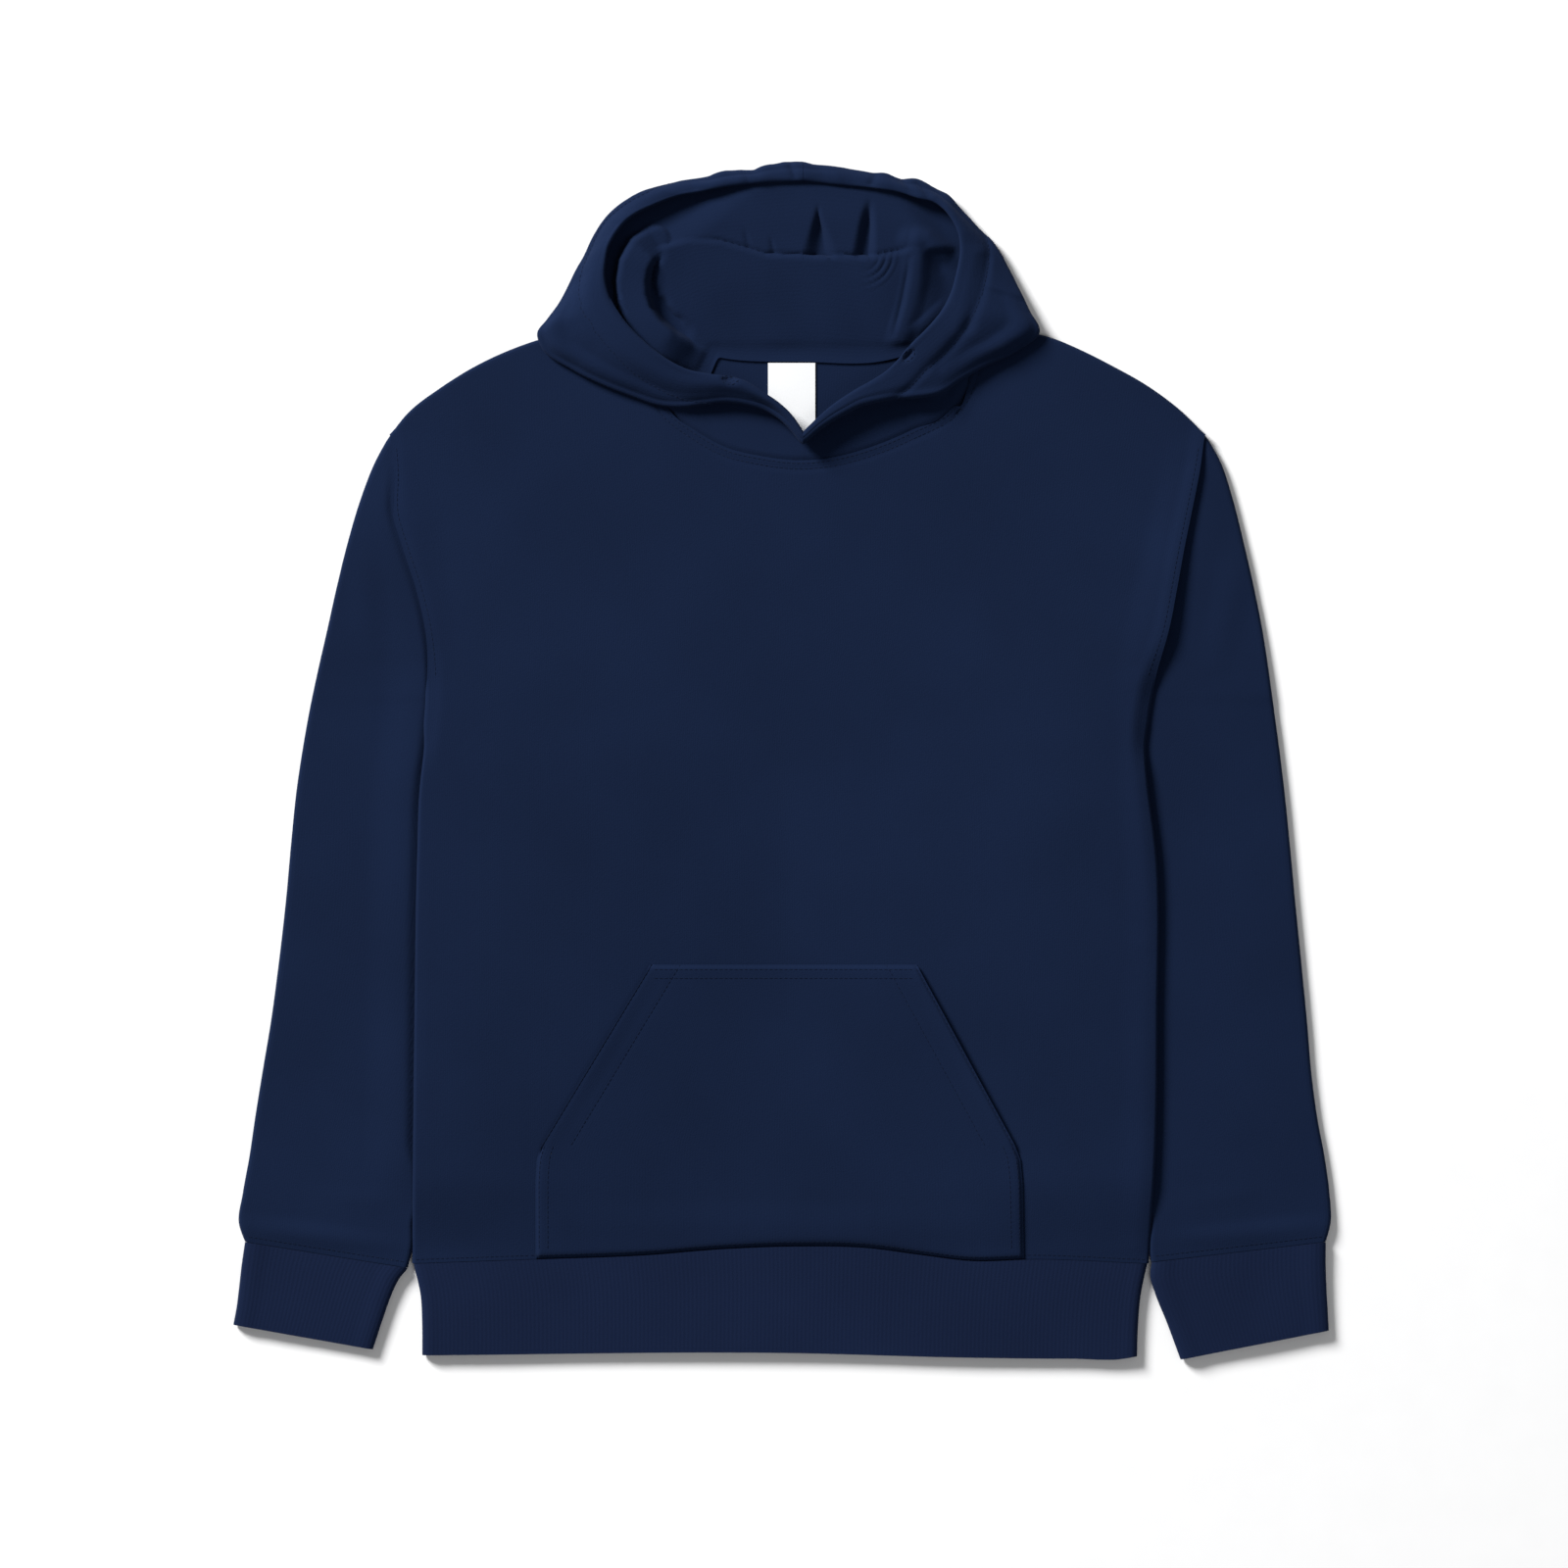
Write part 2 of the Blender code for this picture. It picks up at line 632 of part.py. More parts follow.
def on_neck(neck, side, place):
    """A point on a neck edge: the hood's middle at 0, the neck point of a side at 1."""
    points = neck_points(neck)
    runs = np.concatenate([[0], np.cumsum(np.linalg.norm(np.diff(points, axis=0), axis=1))])
    middle = np.interp(HOOD_MIDDLE, points[:, 0], runs)
    at = middle + (place * (runs[-1] - middle) if side == 2 else -place * middle)
    return np.array([np.interp(at, runs, points[:, axis]) for axis in (0, 1)])


def hood_floor(x, y):
    """Height of the lower layer inside the hood, with its largest folds."""
    near = ease(x, NEAR_LAYER_SIDES[0] - 18, NEAR_LAYER_SIDES[0] + 10)
    near = near * (1 - ease(x, NEAR_LAYER_SIDES[1] - 10, NEAR_LAYER_SIDES[1] + 18))
    near = near * (1 - ease(y, NEAR_LAYER_TOP - 5, NEAR_LAYER_TOP + 5)) * ease(y, 278, 305)
    rise = NEAR_LAYER * near
    for x0, y0, x1, y1, height, half_width in HOOD_FOLDS:
        run = np.array([x1 - x0, y1 - y0], float)
        share = ((x - x0) * run[0] + (y - y0) * run[1]) / (run @ run)
        share = np.clip(share, 0, 1)
        distance = np.hypot(x - x0 - share * run[0], y - y0 - share * run[1])
        rise = np.maximum(rise, height * (1 - ease(distance, 0, half_width)))
    return ON_FLOOR_Z + rise


def over_shoulder(x, y, side):
    """1 where the hood's lower layer lies over the body, 0 where it lies on the floor."""
    shoulder = edge(SHOULDERS, side)
    order = np.argsort(shoulder[:, 0])
    line = smooth(shoulder[order, 0], shoulder[order, 1], x)[:, 0]
    neck_x = shoulder[-1, 0]
    beyond = x - neck_x if side == 1 else neck_x - x
    away = np.hypot(np.maximum(y - line, 0), np.maximum(beyond, 0))
    return 1 - ease(away, 3, 16)


def rounded(corners, near_end, others):
    """Points along a line of corners, softened: evenly spaced, then some near its end."""
    corners = np.array(corners, float)
    runs = np.concatenate([[0], np.cumsum(np.linalg.norm(np.diff(corners, axis=0), axis=1))])
    near = runs[-1] - np.array(near_end)
    at = np.concatenate([np.linspace(0, near[0], others + 1)[:-1], near])
    points = np.stack([np.interp(at, runs, corners[:, axis]) for axis in range(3)], axis=1)
    points[1:-1] = points[:-2] / 4 + points[1:-1] / 2 + points[2:] / 4
    return points, at / runs[-1]


def hood_profile(station, side):
    """Points across one station of the hood, from its rim over the outer fold to the neck seam."""
    rim_x, rim_y, rim_z, fold_x, fold_y, fold_z, place, step = station
    place = np.clip(place, 0, 2)
    neck, share = (FRONT_NECK, place) if place <= 1 else (BACK_NECK, 2 - place)
    seam = on_neck(neck, side, share)
    behind = ease(place, 0.95, 1.15)
    to_middle = unit(np.array(NECK_MIDDLE) - seam)
    inward = unit(to_middle * (1 - behind) + np.array([0.0, 1.0]) * behind)
    standing = ease(place, 0.4, 0.6) * (1 - ease(place, 1.1, 1.4))
    seam = seam + inward * (LYING_GAP + (SIDE_SHIFT - LYING_GAP) * standing)
    seam_z = FRONT_Z + (BACK_Z + 0.1 - FRONT_Z) * ease(place, 0.95, 1.1)
    seam_z = seam_z + (OVER_BODY_Z - seam_z) * ease(place, 0.7, 0.92) * (1 - ease(place, 1.05, 1.35))
    rim, fold = np.array([rim_x, rim_y]), np.array([fold_x, fold_y])
    outward = unit(fold - rim)
    fold = fold - outward * FLEECE / 2
    over = fold - outward * HOOD_FOLD
    points = []
    for part in (0, 0.33, 0.67):
        flat = rim * (1 - part) + over * part
        rise = rim_z * (1 - part) + (fold_z + HOOD_FOLD) * part
        points.append((*flat, rise + 1.5 * np.sin(np.pi * part)))
    for angle in np.radians([90, 45, 0, -45, -90]):
        reach = HOOD_FOLD * (1 - np.cos(angle)) * (1 if angle >= 0 else 1 - step)
        points.append((*(fold - outward * reach), fold_z + HOOD_FOLD * np.sin(angle)))
    turn_z = seam_z + FOOT_RISE * step + (OVER_BODY_Z - seam_z) * standing * (1 - step)
    leaves = seam + inward * LEAVES_NECK * ease(place, 0.98, 1.15)
    turn = (*(fold * step + leaves * (1 - step)), turn_z)
    under, parts = rounded([points[-1], turn, (*seam, seam_z)], NEAR_SEAM, 5)
    behind_neck = ease(place, 0.95, 1.3)
    for point, part in zip(under, parts):
        lying = behind_neck * np.sin(np.pi * part) ** 0.5
        rise = point[2] * (1 - lying) + hood_floor(point[0], point[1]) * lying
        body = over_shoulder(point[:1], point[1], side)[0] * (1 - ease(part, 0.9, 1))
        point[2] = max(rise, OVER_BODY_Z * body * (1 - step))
    return points + list(under[1:])


def hood(side):
    """The grid of one half of the hood: a row for each station, from its rim to its neck seam."""
    table = LEFT_HOOD if side == 1 else RIGHT_HOOD
    sign = 1 if side == 1 else -1
    knots = np.arange(len(table), dtype=float)
    stations = smooth(knots, table, np.linspace(0, knots[-1], HOOD_STATIONS[side]))
    grid = np.array([hood_profile(station, side) for station in stations])
    limit = HOOD_MIDDLE - sign * SEAM_GAP / 2
    inside = grid[1:-1, :, 0]
    nearest = limit - sign * FLEECE
    grid[1:-1, :, 0] = np.minimum(inside, nearest) if side == 1 else np.maximum(inside, nearest)
    grid[0, :, 0] = grid[-1, :, 0] = limit
    return grid


def label():
    """The grid of the neck label, lying on the inside of the back."""
    x, y = np.meshgrid(np.linspace(*LABEL_X, 5), np.linspace(*LABEL_Y, 6))
    z = np.full_like(x, FLEECE + LYING_GAP + LABEL_CLOTH / 2)
    return np.dstack([x, y, z])


def build():
    for old in list(bpy.data.objects):
        bpy.data.objects.remove(old, do_unlink=True)
    fleece = cloth_material("navy_fleece", NAVY, 0.92)
    rib = cloth_material("navy_rib", NAVY_RIB, 0.9)
    woven = cloth_material("white_label", WHITE, 0.75)
    shell_object("body_back", panel(BACK_NECK, False), FLEECE, fleece)
    shell_object("body_front", panel(FRONT_NECK, True), FLEECE, fleece)
    for side, name in ((1, "left"), (2, "right")):
        shell_object("sleeve_" + name, sleeve(side), FLEECE, fleece, around=True)
        shell_object("cuff_" + name, cuff(side), RIB_CLOTH, rib, around=True)
        shell_object("hood_" + name, hood(side), FLEECE, fleece, facing=(1, 0, 0))
    shell_object("hem_band", hem_band(), RIB_CLOTH, rib, around=True)
    shell_object("pocket", pocket(), FLEECE, fleece)
    shell_object("neck_label", label(), LABEL_CLOTH, woven)


build()
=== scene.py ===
import bpy
import numpy as np
from bpy.props import FloatProperty, FloatVectorProperty, PointerProperty
from bpy.types import Operator, Panel, PropertyGroup
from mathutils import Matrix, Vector
from mathutils.bvhtree import BVHTree


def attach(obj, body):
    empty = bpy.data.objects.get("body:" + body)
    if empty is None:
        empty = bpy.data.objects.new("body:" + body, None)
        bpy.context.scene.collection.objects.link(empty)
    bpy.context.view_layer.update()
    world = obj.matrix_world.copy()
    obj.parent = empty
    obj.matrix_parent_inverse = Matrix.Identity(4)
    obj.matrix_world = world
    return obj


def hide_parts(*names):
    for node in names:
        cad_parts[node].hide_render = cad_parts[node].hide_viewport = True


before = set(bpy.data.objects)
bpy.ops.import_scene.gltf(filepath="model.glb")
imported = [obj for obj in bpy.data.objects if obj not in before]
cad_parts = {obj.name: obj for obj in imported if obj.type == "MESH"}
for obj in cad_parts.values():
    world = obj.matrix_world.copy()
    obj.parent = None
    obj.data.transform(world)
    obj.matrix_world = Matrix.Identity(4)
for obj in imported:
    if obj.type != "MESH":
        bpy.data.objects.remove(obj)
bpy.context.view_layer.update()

bl_info = {
    "name": "Pullover hoodie laid flat",
    "version": (1, 0, 0),
    "blender": (4, 5, 0),
    "location": "View3D > Sidebar > Hoodie",
    "description": "Sews a navy fleece hoodie onto its packed solids, with its seams and folds",
    "category": "Object",
}

# Lengths here are in millimetres unless a name ends in _M. Left and right are as seen from above.

MM = 0.001
# Moves the tables' origin to the middle of the garment's box
TO_MIDDLE = (-0.663, 1.273, 0.0)

# Which way is inwards from the left (1) and from the right (2)
SIGN = {1: 1, 2: -1}
NAMES = {1: "left", 2: "right"}

# Thickness of each cloth
FLEECE = 2.3
RIB_CLOTH = 3.0
LABEL_CLOTH = 0.6
# Room between the two layers of a tube, across a seam, and under a piece that lies on another
LAYER_GAP = 0.8
SEAM_GAP = 0.3
LYING_GAP = 0.4

# Heights of the middle of each cloth where it lies flat
BACK_Z = FLEECE / 2
FRONT_Z = FLEECE * 1.5 + LAYER_GAP
STACK = 2 * FLEECE + LAYER_GAP
FOLD_RADIUS = (FRONT_Z - BACK_Z) / 2
FOLD_Z = (FRONT_Z + BACK_Z) / 2
BAND_FOLD_RADIUS = (RIB_CLOTH + LAYER_GAP) / 2
BAND_FOLD_Z = RIB_CLOTH + LAYER_GAP / 2
# How far the top of a sleeve stands in from the armhole seam
SEAM_INSET = FLEECE / 2 - SEAM_GAP

# Body outline from the hem seam to the shoulder point: height, left edge, right edge
BODY_EDGES = (
    (-345, -254, 253), (-258, -253, 258), (-175, -252, 259), (-63, -250, 258), (-16, -248, 252),
    (18, -243, 249), (52, -241, 254), (89, -244, 266), (119, -251, 272), (146, -260, 277),
    (170, -267, 282), (200, -267, 288), (224, -269, 292),
)
UNDERARM_Y = 52
# Heights between which the rounded folds at the body's sides end
SIDE_FOLD_END = (UNDERARM_Y - 12, UNDERARM_Y + 14)

# Shoulder seams from the shoulder point to the neck: height, left, right
SHOULDERS = (
    (224, -269, 292), (241, -255, 275), (257, -234, 254), (273, -208, 226), (284, -184, 204),
    (290, -167, 190), (301, -96, 133),
)

# Neck seams from the left neck point to the right one: across, up
FRONT_NECK = (
    (-96, 301), (-90, 268), (-77, 243), (-58, 228), (-38, 217), (-14, 211), (15, 208), (40, 211),
    (64, 218), (90, 229), (117, 244), (130, 270), (133, 301),
)
BACK_NECK = (
    (-96, 301), (-72, 287), (-43, 279), (15, 276), (73, 277), (104, 287), (133, 301),
)

# Hem seam: across, up
HEM_SEAM = (
    (-254, -346), (-170, -343), (-92, -340), (-42, -336), (14, -334), (58, -335), (97, -340),
    (130, -344), (175, -343), (253, -346),
)
# Hem band below the seam: down from the seam, left edge, right edge
BAND_EDGES = (
    (0, -253, 252), (9, -251.5, 251), (17, -249, 248.5), (32, -247.5, 246.5), (64, -247, 245),
)
HEM_BOTTOM = (
    (-247, -409), (10, -407.5), (125, -410.5), (200, -411.3), (238, -411), (245, -409.5),
)

# Outer edges of the sleeves: height, left, right
SLEEVE_OUTER = (
    (224, -269, 292), (200, -281, 304), (173, -291, 312), (146, -299, 319), (92, -312, 331),
    (38, -324, 339), (-16, -333, 346), (-97, -341, 354), (-178, -351, 362), (-232, -360, 367),
    (-286, -368, 376), (-320, -373, 378), (-331, -370, 375),
)
# How far the inner edge of a sleeve lies under the body: height, tuck
SLEEVE_TUCK = (
    (52, -0.5), (36, -0.5), (8, 26), (-50, 56), (-150, 50), (-230, 20), (-282, -0.5), (-330, -0.5),
)
# Cuffs from seam to end: left outer x, y, left inner x, y, right outer x, y, right inner x, y
CUFFS = (
    (-369, -331, -257, -349, 375, -331, 255, -345),
    (-372, -352, -264, -358, 375, -352, 254.5, -358),
    (-374, -371, -271, -375, 376, -372, 262, -377),
    (-377, -388, -281, -405, 377, -392, 275, -412),
)
# How much the body is raised over the sleeves under its sides, between which heights that begins
# and ends, and how far in from the sleeves' inner edges it fades: back panel, then front panel
LIFT = STACK + LYING_GAP
BACK_LIFT = ((60, 34), (-284, -330), (24, 54))
FRONT_LIFT = ((180, 30), (-284, -341), (4, 230))

# Pocket from the hem seam up: height, left edge, right edge
POCKET = (
    (-339, -169, 167), (-290, -169, 166), (-274, -168, 164.5), (-264, -165, 160.5),
    (-140, -90, 93),
)

# How far beyond the shoulder the hood's lower layer begins and ends its fall to the floor
SHOULDER_FALL = ((2, 9), (3, 16))

# Hood, a row for each station from the front of the neck round to the top of the crown: rim x, y,
# z, outer fold x, y, z, place on the neck seam (0 front, 1 neck point, 2 back), and 1 where the
# fold stands inside the neck seam or 0 where it hangs outside it
LEFT_HOOD = (
    (16, 225, 17, 16, 218, 13, 0, 1),
    (4, 241, 17.5, 4, 231, 13, 0.067, 1),
    (-9, 251, 18, -8, 240, 13, 0.14, 1),
    (-27, 262, 18, -26, 245, 13, 0.25, 1),
    (-43, 265, 18.5, -43, 246, 12.5, 0.36, 1),
    (-61, 268, 19, -66, 243, 12, 0.52, 0.75),
    (-75, 274, 20, -87, 245, 12, 0.66, 0.2),
    (-88, 283, 21, -111, 254, 12, 0.74, 0),
    (-102, 296, 21, -139, 266, 12, 0.85, 0),
    (-113, 310, 20, -167, 287, 11.5, 0.93, 0),
    (-118, 320, 19, -165, 297, 10, 0.955, 0),
    (-121, 332, 18, -154, 312, 7, 0.975, 0),
    (-120, 347, 17, -144, 331, 5, 0.995, 0),
    (-118.5, 353, 16.5, -141, 337.5, 4.6, 1.17, 0),
    (-116, 359, 16, -137, 344, 4.3, 1.36, 0),
    (-107, 371, 14, -128, 363, 4.3, 1.52, 0),
    (-94, 379, 12, -117, 378, 4.3, 1.61, 0),
    (-72, 388, 11, -99, 392, 4.3, 1.7, 0),
    (-51, 392, 10, -65, 401, 4.3, 1.8, 0),
    (-30, 396, 9, -28, 407, 4.3, 1.9, 0),
    (12, 399, 9, 8, 411, 4.3, 2, 0),
)
RIGHT_HOOD = (
    (16, 225, 17, 16, 218, 13, 0, 1),
    (28, 238, 17.5, 28, 229, 13, 0.075, 1),
    (39, 247, 18, 40, 236, 13, 0.14, 1),
    (51, 255, 18, 53, 243, 13, 0.22, 1),
    (65, 263, 18.5, 70, 247, 12.5, 0.3, 1),
    (77, 272, 19, 87, 249, 12, 0.42, 1),
    (88, 285, 20, 106.6, 250.9, 12, 0.539, 0.99),
    (99, 296, 21, 126.7, 263.1, 12, 0.773, 0.16),
    (107, 305, 21, 149, 275.9, 12, 0.86, 0.17),
    (113, 314, 20, 177, 291, 11.5, 0.926, 0),
    (118, 326, 19, 171, 309, 9, 0.96, 0),
    (119.5, 332, 18.5, 166, 320, 7.5, 0.995, 0),
    (121, 338, 18, 161, 330, 6, 1.25, 0),
    (123, 351, 17, 152, 348, 4.6, 1.5, 0),
    (121, 365, 16, 138, 365, 4.3, 1.62, 0),
    (115, 375, 14, 124, 381, 4.3, 1.7, 0),
    (107, 383, 12, 108, 394, 4.3, 1.76, 0),
    (93, 387, 11, 89, 401, 4.3, 1.82, 0),
    (77, 392, 10, 63, 405, 4.3, 1.88, 0),
    (42, 396, 9, 36, 410, 4.3, 1.95, 0),
    (12, 399, 9, 8, 411, 4.3, 2, 0),
)
# Radius of the outer fold, and how far its foot stands above the neck seam
HOOD_FOLD = 3.0
FOOT_RISE = 0.8
# How far inside the neck seam the hood begins beside the neck points
SIDE_SHIFT = 1.6
# Distances from the neck seam of the last points across the hood
NEAR_SEAM = (3.8, 2.4, 1.2, 0)
# How far the lower layer runs level behind the neck before it turns
LEAVES_NECK = 12
# Stations in the grid of each half, and where the halves meet
HOOD_STATIONS = {1: 28, 2: 27}
HOOD_MIDDLE = 15
NECK_MIDDLE = (15, 330)
# Places on the neck seam over which the lower layer comes to lie behind the neck
BEHIND = (0.95, 1.3)
# Places over which its seam comes down to the back panel
SEAM_SINKS = (0.95, 1.1)
# Places between which the hood stands off the neck seam, and between which it lies on the shoulder
STANDING = (0.4, 0.6, 1.1, 1.4)
ON_SHOULDER = (0.7, 0.92, 1.05, 1.35)
# How high the rim's cloth bulges between the rim and the outer fold
BULGE = 1.5
# Heights of the middle of the cloth over the body and on the floor
OVER_BODY_Z = STACK + LYING_GAP + FLEECE / 2
ON_FLOOR_Z = FLEECE / 2 + 0.1

# Neck label
LABEL_X = (-9, 23.5)
LABEL_Y = (224, 274)

# How far apart the points of the fine cloth lie
BODY_SPACING = 2.75
UNDERSIDE_SPACING = 7
SLEEVE_SPACING = 3.2
BAND_SPACING = 2.4
POCKET_SPACING = 2.2
# Distances of the first points from the pocket's edges
EDGE_STRIPS = np.array([0, 0.7, 1.5, 2.3, 3.4])
HOOD_SPACING = 1.5

# Edges of the cloth that turn by more degrees than this are crisp
CUT_ANGLE = 62

# Casing round the hood's opening, turned in and stitched
CASING_WIDTH = 20.5
CASING_EXTRA = 1.5
# How far the hood's lower layer laps over the back of the neck, and more of it at the left
LAP = 1.6
LEFT_LAP = 18.0
# Distance from the seam over which that lap is spread
LAP_FROM = 26.0
# How deep the cloth is drawn in along the casing's seam, left and right
CASING_GROOVE = (0.3, 0.9)
# Creases of the outer layer: from, to, depth, reach
CREASES = (
    ((6, 410), (10, 400), 1.5, 4),
    ((66, 405), (62, 396), 1.0, 4),
    ((84, 399), (95, 384), 1.9, 5),
    ((93, 397), (101, 388), 1.1, 4),
    ((139, 344), (128, 298), 0.9, 8),
    ((130, 300), (108, 272), 0.7, 7),
    ((-26, 406), (-22, 398), 0.6, 4),
    ((-62, 398), (-58, 392), 0.5, 4),
    ((-120, 372), (-112, 366), 0.6, 5),
)
# Height of the small puckers along the casing over the crown
CASING_RIPPLE = 0.8
# Length over which the folded edge of the rim is rounded off
RIM_ROUND = 3.2
# How far the hood's seam edge lies under the front panel, and how far below it
SEAM_UNDER = 1.5
SEAM_DROP = 1.2
# How flat the outer folds are pressed, left and right: at the sides, the corners and the front, and
# from what height
SIDE_PRESS = (0.55, 0.15)
CORNER_PRESS = (0.0, 0.3)
FRONT_PRESS = (0.4, 0.0)
PRESS_FROM = 6.2
# Buttonholes of the casing: middle, turn in degrees, cloth; their length and width, and their depth
BUTTONHOLES = (
    ((-35.5, 261.5), -8, "hood_left_cloth"),
    ((87.5, 278.5), 48, "hood_right_cloth"),
)
BUTTONHOLE = (11, 6)
BUTTONHOLE_DEPTH = 3.0
# How far the cloth under the front of the hood is drawn in
UNDERCUT = 5.0
# How much higher the folds over the front stand, left and right
FRONT_HANG = (1.2, 2.8)
# Column of the hood's grid at which its cloth turns under
HOOD_TURN = 7

# Ridges of the lower layer inside the hood: points along each, height, half width
RIDGES = (
    (
        ((-86, 357), (-95, 351), (-100.5, 341), (-102.5, 330), (-102, 318), (-98, 306), (-90, 295),
         (-79, 285.5), (-66, 278), (-52, 272)),
        12.8, 13.5,
    ),
    (((89, 356), (93, 346), (92, 330), (88, 312), (83, 297), (80, 284)), 3.4, 11),
    (((88, 360), (100, 357.5), (118, 346)), 4.0, 10),
    (((113, 315), (100, 302), (90, 295)), 1.6, 6),
)
# A ridge higher than this is a roll of cloth with steep sides, lower by this share towards its end
ROLL = 10
ROLL_LOWER = 0.62
# Hollows beside the ridges: points along each, depth, half width
HOLLOWS = (
    (((-82, 350), (-87, 342), (-89, 332), (-88.5, 320), (-86, 312)), 3.0, 5),
    (((-88, 319), (-84, 309), (-78, 301.5), (-69, 296)), 11, 11.5),
    (((88.5, 346), (87, 334), (84, 318), (81, 306), (78, 294)), 1.6, 3.5),
    (((101, 352), (106, 345), (114, 337)), 1.6, 9),
)
# Edge of the near layer inside the hood, where it lies over the crown: across, up
NEAR_EDGE = (
    (-92, 349), (-80, 354), (-66, 357.5), (-43, 357.5), (-20, 351), (-11, 348), (30, 347),
    (66, 347), (90, 352),
)
# How high it stands there, how far up it begins to rise, and between which places across
NEAR_HEIGHT = 7.5
NEAR_FROM = 276
NEAR_SPAN = (-97, -84, 94, 117)
# The line along that edge: its depth, where and how wide it is, and between which places across
EDGE_GROOVE = 1.3
EDGE_GROOVE_AT = (0.8, 2.8)
EDGE_GROOVE_SPAN = (-62, -38, 82, 90)
# Height of the crown behind it, and how it sinks further up: between which heights, by what share
CROWN_HEIGHT = 6.4
CROWN_SINK = (368, 392)
CROWN_SINK_SHARE = 0.15
# Where the crown drops away beside the rim, left and right: a point, the way it drops, and over
# what length
CROWN_ENDS = (
    (-82.4, 372.3, -0.624, 0.781, 30),
    (108, 370, 0.796, 0.606, 17),
)
# Pleats of the crown that dip under the near layer: tip x, tip y, foot x, foot y, foot half width,
# depth, how they taper
PLEATS = (
    (25.0, 384, 24.5, 346, 10.5, 6.5, 1.0),
    (60, 388, 55.5, 346, 7.0, 6.5, 0.45),
    (-8, 362, -5, 346, 4.5, 1.0, 1.0),
    (-26, 368, -22, 350, 4.5, 0.8, 1.0),
)
# Small rings of ripples on the near layer: middle, height, length of a wave, and how far out
RIPPLE_CENTRE = (55, 349)
RIPPLE_HEIGHT = 0.45
RIPPLE_LENGTH = 4.6
RIPPLE_SPAN = (9, 14, 22, 28)
# Unevenness of the hood's top edge: across, up
TOP_EDGE = (
    (-120, 0), (-105, -1.5), (-89, -2), (-69, -1.2), (-49, -2.6), (-38, -0.7), (-28, -0.8),
    (-18, -2.6), (-8, 0.2), (2, 1.4), (12, -0.5), (22, -1.3), (33, -0.7), (43, 0), (63, -1.2),
    (73, -0.7), (83, -2.6), (93, -1.3), (103, -2), (113, -1.3), (123, -2), (134, -1.3), (144, 1.2),
    (154, -0.6), (164, 0.8), (175, 0),
)
# Puckers of the hood's top edge: across, half width, height
PUCKERS = (
    (-43, 8, 1.3), (-13, 6, 1.2), (13, 9, 1.6), (44, 10, -0.8), (71, 6, 1.2), (94, 9, 1.8),
    (115, 5, 1.4),
)


def hermite(part, step, low, high, low_bend, high_bend):
    """The place at a share of the way from low to high, a step apart, with these slopes there."""
    place = (2 * part**3 - 3 * part**2 + 1) * low + (3 * part**2 - 2 * part**3) * high
    low_share, high_share = part**3 - 2 * part**2 + part, part**3 - part**2
    return place + step * (low_share * low_bend + high_share * high_bend)


def smooth(knots, values, at):
    """Values at places along a smooth line through the knots."""
    knots = np.asarray(knots, float)
    values = np.asarray(values, float).reshape(len(knots), -1)
    steps = np.diff(knots)[:, None]
    slopes = np.diff(values, axis=0) / steps
    bends = np.empty_like(values)
    bends[0], bends[-1] = slopes[0], slopes[-1]
    bends[1:-1] = (slopes[:-1] * steps[1:] + slopes[1:] * steps[:-1]) / (steps[1:] + steps[:-1])
    at = np.clip(np.asarray(at, float), knots[0], knots[-1])
    low = np.clip(np.searchsorted(knots, at, side="right") - 1, 0, len(knots) - 2)
    part = ((at - knots[low]) / steps[low][:, 0])[:, None]
    return hermite(part, steps[low], values[low], values[low + 1], bends[low], bends[low + 1])


def walked(points):
    """Distance of each point from the first one, along the line of them."""
    return np.concatenate([[0], np.cumsum(np.linalg.norm(np.diff(points, axis=0), axis=1))])


def along(points, fractions):
    """Places along a smooth line through the points, by fractions of its length."""
    points = np.asarray(points, float)
    runs = walked(points)
    return smooth(runs, points, np.asarray(fractions) * runs[-1])


def column(table, index):
    """One column of a table."""
    return np.array([row[index] for row in table], float)


def line_at(table, across):
    """How far up a line of across and up lies, at places across."""
    return smooth(column(table, 0), column(table, 1), across)[:, 0]


def edge(table, side):
    """The left (1) or right (2) line of a table of heights, as points."""
    return np.stack([column(table, side), column(table, 0)], axis=1)


def at_height(table, side, height):
    """How far across the edge of a table lies at each height."""
    heights = column(table, 0)
    order = np.argsort(heights)
    height = np.asarray(height, float)
    found = smooth(heights[order], column(table, side)[order], height.ravel())
    return found.reshape(height.shape)


def ease(value, start, end):
    """0 at start, 1 at end, with soft ends."""
    part = np.clip((np.asarray(value, float) - start) / (end - start), 0, 1)
    return part * part * (3 - 2 * part)


def fall(value, start, end):
    """1 at start, 0 at end, with soft ends."""
    return 1 - ease(value, start, end)


def band(value, start, full, fade, end):
    """0 up to start, 1 from full to fade and 0 from end on."""
    return ease(value, start, full) * fall(value, fade, end)


def lengths_of(vectors):
    """Lengths of directions, never quite 0."""
    return np.maximum(np.linalg.norm(vectors, axis=-1, keepdims=True), 1e-9)


def unit(vectors):
    return vectors / lengths_of(vectors)


def end_slope(first, second, third):
    """Direction at the first of three points along a line."""
    near, far = lengths_of(second - first), lengths_of(third - second)
    both = near + far
    slope = -first * (near + both) / (near * both) + second * both / (near * far)
    return slope - third * near / (far * both)


